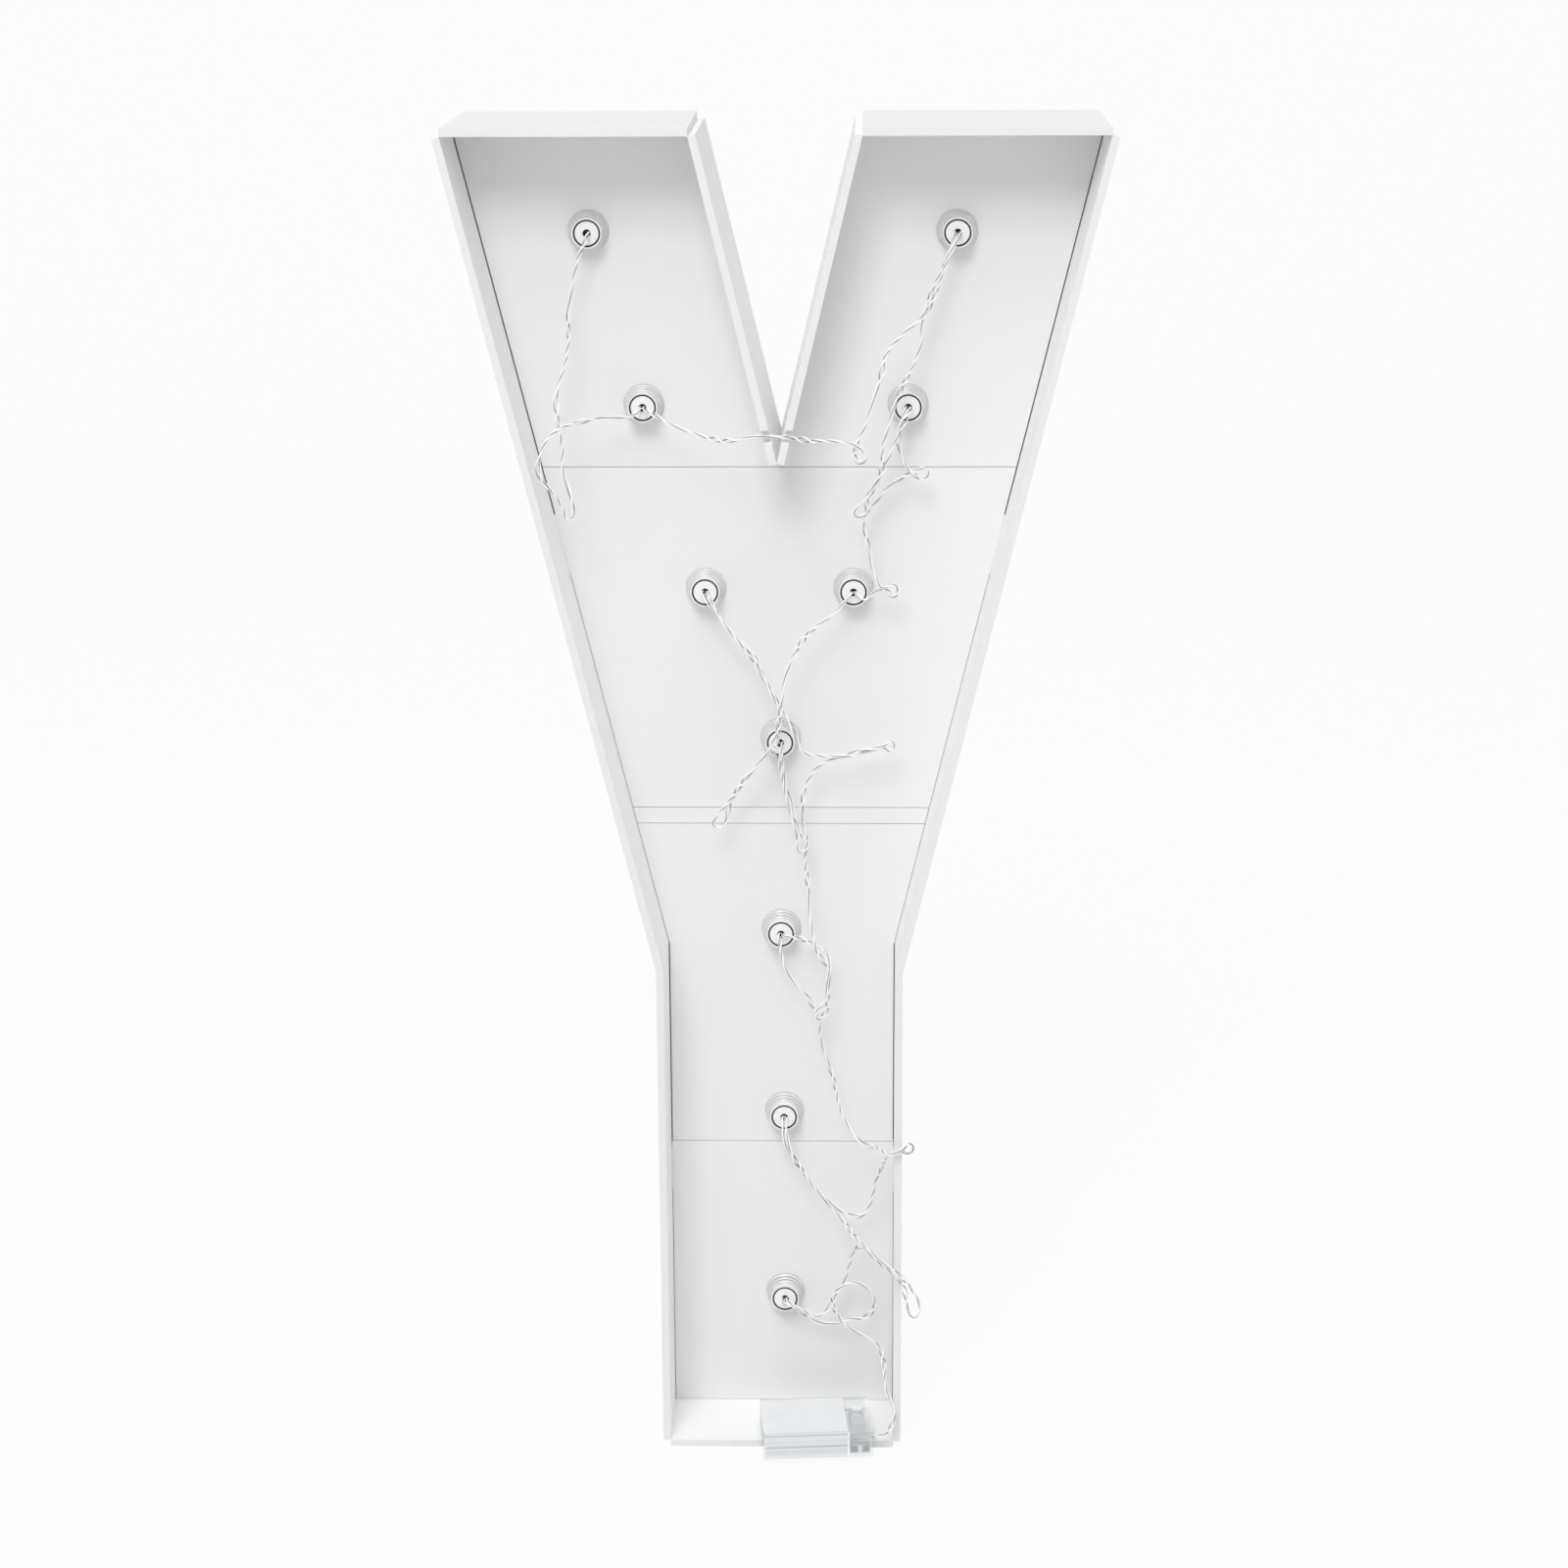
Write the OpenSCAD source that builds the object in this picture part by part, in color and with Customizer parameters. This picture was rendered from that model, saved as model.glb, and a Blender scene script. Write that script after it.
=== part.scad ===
// Free-standing light-up letter, open at the back, with ten globe bulbs and a battery box
// Frame: +X right and +Z up as seen from the open back, +Y to the lit front
// Origin: middle of the underside of the bottom wall, in the middle plane of the face panels

/* [Letter] */
// Overall height
letter_h = 914; // [800:1:1000]
// Overall width across the tops of the arms
top_w = 435; // [400:1:470]
// Width of the stem across its walls
stem_w = 166.5; // [150:0.5:185]
// Width of each arm across its top, measured level
arm_w = 166.5; // [150:0.5:180]
// Height where the stem turns into the arms
fork_h = 354; // [320:1:390]
// Depth of the walls from back rim to front rim
depth = 130; // [115:1:150]
// Thickness of the foam board
board = 5; // [4:0.5:6]

/* [Face panels] */
// Open line beside the arm panels, the top of the middle panel and the upper stem panel
side_gap = 0.8; // [0.5:0.1:1.5]
// Open line beside the lower stem panel
foot_gap = 0.4; // [0.3:0.1:1]
// Open line along the other panel edges
panel_gap = 0.3; // [0.2:0.1:0.8]
// Thickness of the lip that closes the open lines from the front
lip_t = 1.2; // [1:0.1:2]
// Room between a panel's lip and the wall
lip_clear = 0.1; // [0.05:0.05:0.2]
// Open line between neighbouring panels
seam_gap = 0.4; // [0.2:0.1:0.8]
// Drop of the arm panels' lower seam below the bottom of the notch
arm_seam_drop = 14; // [8:1:20]
// Rise of the joining strip's upper seam above the fork
strip_rise = 97.5; // [85:0.5:110]
// Height of the joining strip
strip_h = 11.5; // [8:0.5:16]
// Height of the seam across the stem
stem_seam_h = 206; // [195:1:215]
// Length of the tabs in the top walls
top_tab_l = 30; // [20:1:40]
// Distance of the top tabs from the middle of the letter
top_tab_x = 133; // [125:1:140]
// Length of the tabs in the slanted side walls
arm_tab_l = 40; // [30:1:50]
// Drop of the slanted walls' tabs below the arm seam
arm_tab_drop = 52; // [40:1:60]
// Length of the tabs in the stem walls
stem_tab_l = 34; // [24:1:40]
// Drop of the stem tabs below the stem seam
stem_tab_drop = 21; // [21:1:40]
// Room round a tab in its slot
tab_clear = 0.3; // [0.2:0.1:0.5]

/* [Walls] */
// Drop of the butt seam in each slanted side wall below the top
wall_seam_drop = 148; // [114:1:174]
// Width of the wire notch in each notch wall's back rim
wire_notch_w = 9; // [7:0.5:12]
// Depth of the wire notch from the back rim
wire_notch_d = 11; // [10:0.5:16]
// Rise of the wire notch above the bottom of the letter's notch
wire_notch_rise = 17; // [15:0.5:22]

/* [Bulbs] */
// Diameter of the globe
globe_d = 40; // [34:1:42]
// Wall of the globe
globe_wall = 1.4; // [1:0.1:2]
// Diameter of the flange on the face panel
flange_d = 34; // [31:0.5:38]
// Thickness of the flange
flange_t = 2; // [1.5:0.1:3]
// Length of the throat between flange and globe
throat_l = 4; // [2:0.5:6]
// Diameter of the threaded neck
neck_d = 26.4; // [25:0.1:28]
// Room between neck and panel hole
neck_clear = 0.2; // [0.1:0.05:0.4]
// Height of one thread
thread_pitch = 3; // [2.5:0.1:3.5]
// Number of threads behind the panel
thread_count = 3; // [2:1:4]
// Drop in radius from one thread to the next
thread_step = 1; // [0.6:0.1:1.2]
// Length of the plain end behind the threads
neck_end_l = 5; // [5:0.5:8]
// Diameter of the plain end at its tip
neck_end_d = 20; // [19.5:0.1:21]
// Diameter of the wire plug
plug_d = 16.4; // [16:0.1:17]
// Thickness of the wire plug's cap
plug_cap_t = 3.5; // [3:0.1:4.5]
// Diameter of the wire plug's body
plug_body_d = 14.4; // [13:0.1:15]
// Length of the wire plug's body
plug_body_l = 5; // [3:0.5:7]
// Dark ring between plug and neck
plug_ring = 0.7; // [0.4:0.1:0.9]
// Room between the plug's body and its bore
plug_clear = 0.2; // [0.1:0.05:0.3]
// Depth of the plug's face below the neck's tip
plug_recess = 0.3; // [0:0.1:0.6]
// Diameter of the wire hole in the plug
wire_hole_d = 5.2; // [5:0.1:6]
// Depth of the wire hole
wire_hole_l = 5; // [4:0.5:6]
// Diameter of the lamp inside the neck
led_d = 5; // [3:0.5:6]
// Length of the lamp below its dome
led_l = 6; // [4:0.5:8]
// Drop of the upper arm bulbs below the top
arm_bulb_top_drop = 71; // [60:1:80]
// Rise of the middle arm bulbs above the arm seam
arm_bulb_mid_rise = 42; // [36:1:48]
// Drop of the lower arm bulbs below the arm seam
arm_bulb_low_drop = 82; // [80:1:90]
// Distance of the upper arm bulbs from the slanted outer side
arm_bulb_top_inset = 80.5; // [75:0.5:86]
// Distance of the middle arm bulbs from the slanted outer side
arm_bulb_mid_inset = 86; // [80:0.5:92]
// Distance of the lower arm bulbs from the slanted outer side
arm_bulb_low_inset = 94; // [90:0.5:98]
// Sideways shift of the two upper arm bulbs
arm_bulb_top_shift = -3.5; // [-5:0.5:5]
// Sideways shift of the two middle arm bulbs
arm_bulb_mid_shift = -2; // [-5:0.5:5]
// Sideways shift of the two lowest stem bulbs
stem_bulb_low_shift = 1.5; // [-5:0.5:5]
// Rise of the first stem bulb above the joining strip
stem_bulb_top_rise = 49.5; // [40:0.5:55]
// Rise of the second stem bulb above the fork
stem_bulb_fork_rise = 10.5; // [0:0.5:20]
// Rise of the third stem bulb above the stem seam
stem_bulb_seam_rise = 23.5; // [20:0.5:35]
// Height of the lowest stem bulb
stem_bulb_low_h = 91; // [80:1:100]

/* [Battery box] */
// Length of the box
box_l = 76; // [74:0.5:80]
// Width of the box
box_d = 54; // [52:0.5:58]
// Height of the box
box_h = 19; // [18.5:0.1:22]
// Wall of the box
box_wall = 1.8; // [1.6:0.1:2.2]
// Corner radius of the box
box_corner = 1.5; // [1:0.1:2]
// Length of the switch chamber at the box's end
chamber_l = 18; // [17:0.5:20]
// Distance of the box's middle from the letter's middle
box_x = 24; // [15:0.5:30]
// Distance of the box's middle inside the back rim
box_inset = 1.5; // [0:0.5:10]
// Turn of the box on the bottom wall
box_turn = 5; // [0:0.5:8]
// Thickness of the sliding lid
lid_t = 2; // [1.8:0.1:2.4]
// Thickness of the lip over the lid's tongues
lid_lip = 0.8; // [0.6:0.1:1]
// Reach of the lid's tongues into their grooves
lid_tongue = 0.9; // [0.6:0.1:1]
// Running room of the sliding pieces
slide_clear = 0.2; // [0.1:0.05:0.3]
// Number of grip ridges on the lid
grip_count = 5; // [3:1:7]
// Spacing of the grip ridges
grip_pitch = 2.4; // [2:0.1:3]
// Width of each grip ridge
grip_w = 1; // [0.8:0.1:1.4]
// Length of the grip ridges
grip_l = 16; // [10:1:24]
// Height of the grip ridges
grip_h = 0.5; // [0.3:0.1:0.8]
// Height of the lower rails along the tray's long sides
rail_low_h = 7.8; // [6:0.1:9]
// Height of the upper rails along the tray's long sides
rail_high_h = 12; // [11:0.1:13]
// Thickness of a rail
rail_t = 1; // [0.8:0.1:1.4]
// Rise of a rail above the tray's side
rail_out = 0.5; // [0.3:0.1:0.8]
// Spacing of the cells
cell_pitch = 16; // [15:0.1:16.5]
// Height of the ribs between the cells
rib_h = 6; // [4:0.5:8]
// Thickness of the ribs between the cells
rib_t = 1.2; // [1:0.1:1.6]
// Thickness of the contact plates
contact_t = 0.5; // [0.4:0.1:0.8]
// Width of a contact plate
contact_w = 10; // [8:0.5:12]
// Height of a contact plate
contact_h = 12; // [10:0.5:14]
// Diameter of the raised contact button
button_d = 4; // [3:0.5:5]
// Rise of the contact button
button_h = 1; // [0.6:0.1:1.4]
// Wire diameter of the contact springs
spring_wire_d = 0.8; // [0.6:0.1:1]
// Turns of a contact spring
spring_turns = 4; // [3:1:5]
// Length of a contact spring
spring_l = 8; // [7:0.5:9]
// Radius of a contact spring at its plate
spring_base_r = 4.2; // [3.5:0.1:4.8]
// Radius of a contact spring at its free end
spring_tip_r = 2.4; // [2:0.1:3]
// Width of the switch body
switch_w = 10; // [8:0.5:11]
// Length of the switch body
switch_l = 22; // [18:0.5:26]
// Height of the switch body
switch_h = 6; // [5:0.5:8]
// Side of the knob's square stem
knob_stem = 4; // [3:0.5:5]
// Overhang of the knob's cap and foot round its stem
knob_lap = 1.2; // [1:0.1:1.6]
// Thickness of the knob's foot
knob_foot_t = 2; // [1.5:0.1:2.5]
// Thickness of the knob's cap
knob_cap_t = 1.8; // [1.4:0.1:2.5]
// Place of the knob along the box's width
knob_y = 6; // [4:0.5:7]
// Travel of the knob
knob_travel = 5; // [3:0.5:6]
// Place of the wire outlet along the box's width
outlet_y = -17; // [-19:0.5:-12]
// Height of the wire outlet
outlet_h = 10; // [8:0.5:12]
// Length of the wire outlet's boss
outlet_l = 2.2; // [1.8:0.1:3]
// Wall of the wire outlet's boss
outlet_wall = 1.2; // [1:0.1:1.6]

/* [Wires] */
// Outer diameter of the twisted pair
wire_d = 2.4; // [2:0.1:2.4]
// Room round the wire in the box's outlet
wire_clear = 0.3; // [0.2:0.1:0.5]

/* [Hidden] */
$fn = 64;
eps = 0.01;
cut_past = 1;
bulb_count = 10;
cell_count = 3;
wire_sides = 8;
wire_steps = 2;
spring_sides = 6;
spring_rings = 8;

// Slanted sides: sideways run for each millimetre of height, and its angle
lean = (top_w - stem_w) / 2 / (letter_h - fork_h);
lean_angle = atan(lean);
slant_t = board / cos(lean_angle);
across = [cos(lean_angle), -sin(lean_angle)];
top_in = letter_h - board;
stem_in = stem_w / 2 - board;
notch_half = top_w / 2 - arm_w;
notch_h = letter_h - notch_half / lean;
fork_in_h = fork_h + (slant_t - board) / lean;
wall_seam_h = letter_h - wall_seam_drop;

function outer_x(z) = stem_w / 2 + lean * (z - fork_h);
function inner_x(z) = outer_x(z) - slant_t;
function panel_x(z, gap) = inner_x(z) - gap / cos(lean_angle);
function notch_in_x(z) = notch_half - lean * (letter_h - z) + slant_t;
function notch_panel_x(z, gap) = notch_in_x(z) + gap / cos(lean_angle);
function fork_panel_h(slant_gap, stem_gap) = fork_in_h + (slant_gap / cos(lean_angle) - stem_gap) / lean;

// Face panel seams and tabs
arm_seam_h = notch_h - arm_seam_drop;
crotch_h = notch_h - board * sin(lean_angle) - panel_gap;
strip_top_h = fork_h + strip_rise;
strip_low_h = strip_top_h - strip_h;
arm_tab_h = arm_seam_h - arm_tab_drop;
stem_tab_h = stem_seam_h - stem_tab_drop;
slot_t = board + 2 * tab_clear;

// Bulbs: left and right arm bulbs from the top down, then the stem
arm_top_z = letter_h - arm_bulb_top_drop;
arm_mid_z = arm_seam_h + arm_bulb_mid_rise;
arm_low_z = arm_seam_h - arm_bulb_low_drop;
arm_top_x = outer_x(arm_top_z) - arm_bulb_top_inset;
arm_mid_x = outer_x(arm_mid_z) - arm_bulb_mid_inset;
arm_low_x = outer_x(arm_low_z) - arm_bulb_low_inset;
bulbs = [
    [arm_bulb_top_shift - arm_top_x, arm_top_z], [arm_bulb_top_shift + arm_top_x, arm_top_z],
    [arm_bulb_mid_shift - arm_mid_x, arm_mid_z], [arm_bulb_mid_shift + arm_mid_x, arm_mid_z],
    [-arm_low_x, arm_low_z], [arm_low_x, arm_low_z],
    [0, strip_top_h + stem_bulb_top_rise],
    [0, fork_h + stem_bulb_fork_rise],
    [stem_bulb_low_shift, stem_seam_h + stem_bulb_seam_rise],
    [stem_bulb_low_shift, stem_bulb_low_h]
];
neck_r = neck_d / 2;
hole_r = neck_r + neck_clear;
thread_r = thread_pitch / 2;
thread_end = board / 2 + thread_count * thread_pitch;
neck_tip = thread_end + neck_end_l;
neck_end_r = neck_r - thread_count * thread_step;
globe_r = globe_d / 2;
globe_z = board / 2 + flange_t + throat_l + sqrt(globe_r * globe_r - neck_r * neck_r);
plug_face = neck_tip - plug_recess;
plug_seat = plug_face - plug_cap_t;
plug_front = plug_seat - plug_body_l;
plug_bore_r = plug_body_d / 2 + plug_clear;
wire_seat = plug_face - wire_hole_l;

// Battery box in its own frame: middle of its underside, lid sliding along -X
box_left = -box_l / 2;
box_right = box_l / 2;
bay_end = box_right - chamber_l;
bay_start = box_left + box_wall;
lid_end = bay_end + box_wall / 2;
lid_floor = box_h - lid_t;
bay_half = box_d / 2 - box_wall;
chamber_start = bay_end + box_wall;
switch_x = (chamber_start + box_right - box_wall) / 2;
deck_under = box_h - box_wall;
switch_top = deck_under - slide_clear - knob_foot_t - slide_clear;
switch_floor = switch_top - switch_h;
cell_z = box_wall + contact_h / 2;
outlet_r = wire_d / 2 + wire_clear;

// Wire routes: free points chosen by hand between the seats at their two ends
function seat(bulb, side) = [bulbs[bulb - 1][0] + side * wire_hole_d / 4, -wire_seat, bulbs[bulb - 1][1]];
function away(bulb, side, reach) = seat(bulb, side) - [0, reach, 0];
function box_point(p) = [
    box_x + p[0] * cos(box_turn) - p[1] * sin(box_turn),
    box_inset - depth / 2 + p[0] * sin(box_turn) + p[1] * cos(box_turn),
    board + p[2]
];
outlet_seat = box_point([box_right, outlet_y, outlet_h]);
outlet_away = box_point([box_right + outlet_l + wire_d, outlet_y, outlet_h]);
short_lead = 8;
long_lead = 12;

route_box_10 = concat([outlet_seat, outlet_away], [
    [74, -76, 18], [78, -73, 24], [79, -71, 31], [76, -67, 38], [73, -60, 43], [72, -50, 48],
    [71, -38, 56], [66, -31, 64], [57, -29, 69], [47, -28, 74], [40, -28, 82], [36, -28, 90],
    [36, -27, 98], [40, -27, 104], [47, -26, 108], [55, -26, 107], [62, -25, 101], [65, -24, 93],
    [63, -23, 84], [56, -22, 79], [47, -22, 78], [38, -22, 75], [28, -22, 75], [20, -22, 78],
    [13, -22, 84]
], [away(10, 1, short_lead), seat(10, 1)]);
route_10_9 = concat([seat(10, -1), away(10, -1, long_lead)], [
    [8, -27, 90], [15, -27, 87], [23, -26, 82], [30, -25, 85], [34, -23, 90], [37, -22, 97],
    [42, -22, 104], [45, -22, 112], [47, -23, 120], [49, -25, 129], [52, -29, 136], [56, -36, 140],
    [61, -46, 140], [66, -56, 139], [72, -64, 137], [78, -68, 134], [83, -70, 129], [86, -72, 122],
    [87, -73, 114], [89, -74, 107], [93, -74, 105], [96, -74, 110], [95, -74, 117], [91, -75, 125],
    [87, -75, 131], [81, -74, 137], [74, -72, 142], [65, -62, 145], [58, -50, 147], [51, -40, 150],
    [45, -33, 156], [32, -27, 169], [20, -25, 184], [10, -25, 200], [2, -25, 214]
], [away(9, -1, short_lead), seat(9, -1)]);
route_9_8 = concat([seat(9, 1), away(9, 1, short_lead)], [
    [9, -23, 218], [16, -24, 206], [26, -25, 190], [38, -27, 175], [47, -29, 164], [55, -28, 160],
    [61, -27, 167], [64, -28, 178], [66, -34, 191], [69, -48, 204], [74, -69, 218], [83, -71, 221],
    [89, -72, 222], [92, -72, 224], [92, -72, 228], [89, -72, 230], [83, -71, 230], [74, -69, 228],
    [66, -52, 222], [58, -38, 218], [49, -29, 224], [41, -24, 238], [36, -22, 260], [32, -22, 274],
    [27, -22, 290], [26, -22, 304], [20, -22, 318], [10, -23, 331], [2, -24, 345]
], [away(8, -1, short_lead), seat(8, -1)]);
route_8_5 = concat([seat(8, 1), away(8, 1, short_lead)], [
    [10, -24, 365], [20, -24, 361], [31, -24, 354], [36, -26, 344], [35, -28, 333], [36, -30, 321],
    [35, -31, 313], [33, -32, 310], [29, -32, 310], [28, -32, 314], [28, -32, 323], [28, -32, 335],
    [29, -32, 346], [25, -31, 357], [22, -29, 369], [20, -27, 382], [19, -25, 396], [18, -24, 410],
    [17, -23, 422], [18, -22, 436], [15, -22, 449], [15, -23, 462], [19, -24, 477], [26, -25, 487],
    [39, -26, 491], [54, -27, 495], [68, -28, 498], [74, -28, 499], [77, -29, 500], [77, -29, 504],
    [74, -30, 506], [68, -30, 505], [54, -30, 501], [39, -29, 498], [25, -29, 496], [16, -29, 498],
    [12, -29, 505], [8, -29, 517], [2, -28, 528], [-5, -27, 540], [-11, -26, 551], [-16, -25, 562],
    [-27, -24, 574], [-37, -24, 586], [-43, -24, 597]
], [away(5, 1, short_lead), seat(5, 1)]);
route_5_7 = concat([seat(5, -1), away(5, -1, short_lead)], [
    [-50, -24, 596], [-42, -25, 583], [-31, -26, 569], [-21, -27, 557], [-15, -27, 546], [-9, -27, 535],
    [-4, -26, 524], [-2, -24, 513]
], [away(7, -1, short_lead), seat(7, -1)]);
route_7_6 = concat([seat(7, 1), away(7, 1, short_lead)], [
    [2, -22, 489], [5, -22, 472], [8, -23, 454], [11, -25, 439], [12, -26, 433], [10, -27, 429],
    [6, -28, 429], [4, -28, 433], [4, -28, 442], [2, -28, 458], [-1, -28, 473], [-5, -27, 482],
    [-13, -26, 481], [-23, -25, 470], [-31, -24, 457], [-36, -24, 447], [-38, -25, 444], [-42, -25, 444],
    [-43, -26, 448], [-39, -27, 460], [-28, -28, 477], [-18, -30, 491], [-12, -33, 506], [-7, -34, 520],
    [-3, -34, 532], [2, -34, 545], [5, -32, 557], [10, -30, 568], [18, -28, 580], [29, -26, 587],
    [38, -24, 594]
], [away(6, -1, short_lead), seat(6, -1)]);
route_6_4 = concat([seat(6, 1), away(6, 1, short_lead)], [
    [57, -23, 602], [67, -24, 605], [75, -25, 605], [78, -26, 606], [79, -26, 610], [76, -27, 613],
    [68, -27, 616], [62, -26, 624], [60, -25, 634], [58, -24, 644], [56, -23, 652], [58, -22, 660],
    [64, -22, 667], [70, -22, 675], [77, -22, 681], [87, -23, 683], [94, -24, 683], [98, -25, 685],
    [98, -25, 689], [94, -26, 691], [87, -26, 692], [81, -25, 699], [79, -24, 709], [80, -23, 719]
], [away(4, -1, short_lead), seat(4, -1)]);
route_4_2 = concat([seat(4, 1), away(4, 1, long_lead)], [
    [82, -29, 721], [76, -30, 707], [73, -30, 695], [69, -30, 684], [62, -30, 672], [58, -30, 663],
    [55, -31, 660], [51, -32, 660], [50, -32, 664], [53, -33, 670], [59, -34, 679], [65, -34, 690],
    [68, -34, 703], [71, -34, 716], [75, -33, 730], [80, -31, 744], [88, -28, 758], [93, -26, 773],
    [94, -24, 786], [99, -23, 804], [107, -22, 822]
], [away(2, -1, short_lead), seat(2, -1)]);
route_2_3 = concat([seat(2, 1), away(2, 1, long_lead)], [
    [114, -28, 836], [109, -30, 826], [105, -31, 814], [101, -32, 803], [94, -33, 791], [82, -36, 781],
    [71, -40, 769], [67, -43, 754], [62, -46, 738], [57, -49, 723], [52, -51, 712], [50, -53, 704],
    [53, -54, 700], [57, -56, 702], [56, -57, 708], [50, -58, 712], [42, -58, 714], [32, -59, 715],
    [21, -59, 715], [10, -59, 717], [0, -59, 718], [-10, -59, 718], [-19, -58, 717], [-29, -54, 714],
    [-42, -46, 714], [-57, -38, 717], [-70, -32, 721], [-80, -27, 726]
], [away(3, 1, short_lead), seat(3, 1)]);
route_3_1 = concat([seat(3, -1), away(3, -1, short_lead)], [
    [-97, -24, 725], [-117, -34, 725], [-137, -48, 723], [-148, -54, 716], [-153, -56, 706],
    [-155, -57, 697], [-153, -57, 689], [-147, -55, 682], [-141, -52, 672], [-139, -51, 666],
    [-138, -50, 662], [-134, -49, 662], [-133, -48, 667], [-136, -46, 680], [-140, -44, 692],
    [-140, -42, 706], [-142, -40, 720], [-144, -37, 736], [-142, -33, 748], [-138, -29, 761],
    [-136, -26, 775], [-136, -24, 793], [-133, -23, 809], [-129, -22, 827]
], [away(1, 1, short_lead), seat(1, 1)]);
wire_names = [
    "wire_box_to_bulb_10", "wire_bulb_10_to_9", "wire_bulb_9_to_8", "wire_bulb_8_to_5", "wire_bulb_5_to_7",
    "wire_bulb_7_to_6", "wire_bulb_6_to_4", "wire_bulb_4_to_2", "wire_bulb_2_to_3", "wire_bulb_3_to_1"
];
wire_routes = [
    route_box_10, route_10_9, route_9_8, route_8_5, route_5_7,
    route_7_6, route_6_4, route_4_2, route_2_3, route_3_1
];

// Smooth line through a route's points, straight at both ends
function bend(a, b, c, d, t) = 0.5 * (2 * b + (c - a) * t + (2 * a - 5 * b + 4 * c - d) * t * t
    + (3 * b - a - 3 * c + d) * t * t * t);
function smooth(p, steps) = let (n = len(p)) concat(
    [p[0]],
    [for (i = [1 : n - 3]) for (k = [0 : steps - 1]) bend(p[i - 1], p[i], p[i + 1], p[i + 2], k / steps)],
    [p[n - 2], p[n - 1]]
);

// Rings of a tube along a line, each turned from the one before without twist
function unit(v) = v / norm(v);
function heading(p, i) = unit(p[min(i + 1, len(p) - 1)] - p[max(i - 1, 0)]);
function level(v, t) = unit(v - (v * t) * t);
function sides(p, i, start) = i == 0 ? [level(start, heading(p, 0))]
    : let (before = sides(p, i - 1, start)) concat(before, [level(before[i - 1], heading(p, i))]);
function ring(c, t, s, r, n) = let (b = cross(t, s))
    [for (k = [0 : n - 1]) c + r * (cos(360 * k / n) * s + sin(360 * k / n) * b)];
module tube(p, r, n, start) {
    count = len(p);
    side = sides(p, count - 1, start);
    points = [for (i = [0 : count - 1]) each ring(p[i], heading(p, i), side[i], r, n)];
    walls = [for (i = [0 : count - 2]) for (k = [0 : n - 1]) each [
        [i * n + k, (i + 1) * n + (k + 1) % n, i * n + (k + 1) % n],
        [i * n + k, (i + 1) * n + k, (i + 1) * n + (k + 1) % n]
    ]];
    first = [for (k = [1 : n - 2]) [0, k, k + 1]];
    end = (count - 1) * n;
    last = [for (k = [1 : n - 2]) [end, end + k + 1, end + k]];
    polyhedron(points, concat(first, walls, last));
}

// Contact spring: one conical coil, with the least gap between its turns
function spring_radius(t) = spring_base_r + (spring_tip_r - spring_base_r) * t;
function spring_line() = let (n = spring_turns * spring_rings) [for (i = [0 : n])
    let (t = i / n, a = 360 * i / spring_rings, r = spring_radius(t))
    [spring_wire_d / 2 + eps + (spring_l - spring_wire_d) * t, r * cos(a), r * sin(a)]];
spring_points = spring_line();
spring_gap = min([for (i = [0 : len(spring_points) - 1 - spring_rings])
    norm(spring_points[i + spring_rings] - spring_points[i])]) - spring_wire_d;
echo(least_gap_between_spring_turns = spring_gap);

bulb_numbers = [1 : bulb_count];

// Upright plate from an outline seen from the back
module slab(outline, back, front) {
    translate([0, front, 0]) rotate([90, 0, 0]) linear_extrude(front - back) polygon(outline);
}
module panel_slab(outline) {
    slab(outline, -board / 2, board / 2);
}
module panel_lip(outline) {
    slab(outline, board / 2 - lip_t, board / 2);
}
module wall_slab(outline) {
    slab(outline, -depth / 2, depth / 2);
}

// Hand of a piece: the right one, or its mirror image
module hand(right) {
    if (right) children();
    else mirror([1, 0, 0]) children();
}

// Through holes for the bulbs' necks
module bulb_holes() {
    for (b = bulbs)
        translate([b[0], 0, b[1]]) rotate([90, 0, 0])
            cylinder(h = board + 2 * cut_past, r = hole_r, center = true);
}

// Slots that take the panels' tabs
module top_slot() {
    translate([top_tab_x - top_tab_l / 2 - tab_clear, -slot_t / 2, top_in - cut_past])
        cube([top_tab_l + 2 * tab_clear, slot_t, board + 2 * cut_past]);
}
module side_slot(x_from, x_to, z_mid, length) {
    translate([x_from, -slot_t / 2, z_mid - length / 2 - tab_clear])
        cube([x_to - x_from, slot_t, length + 2 * tab_clear]);
}

// Face panels: outlines at a given distance from the walls, for the board itself and for its lip
function arm_outline(low, high, gap, notch_gap) = [
    [seam_gap / 2, low], [panel_x(low, gap), low], [panel_x(high, gap), high],
    [notch_panel_x(high, notch_gap), high], [notch_panel_x(crotch_h, notch_gap), crotch_h],
    [seam_gap / 2, crotch_h]
];
function slant_outline(low, high, gap) = [
    [-panel_x(low, gap), low], [panel_x(low, gap), low],
    [panel_x(high, gap), high], [-panel_x(high, gap), high]
];
function stepped_outline(low, step, high, gap, top_gap) = [
    [-panel_x(low, gap), low], [panel_x(low, gap), low], [panel_x(step, gap), step],
    [panel_x(step, top_gap), step], [panel_x(high, top_gap), high],
    [-panel_x(high, top_gap), high], [-panel_x(step, top_gap), step], [-panel_x(step, gap), step]
];
function fork_outline(low, high, gap, stem_gap) = [
    [stem_gap - stem_in, low], [stem_in - stem_gap, low],
    [stem_in - stem_gap, fork_panel_h(gap, stem_gap)], [panel_x(high, gap), high],
    [-panel_x(high, gap), high], [stem_gap - stem_in, fork_panel_h(gap, stem_gap)]
];
function stem_outline(low, high, gap) = [
    [gap - stem_in, low], [stem_in - gap, low], [stem_in - gap, high], [gap - stem_in, high]
];
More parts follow.
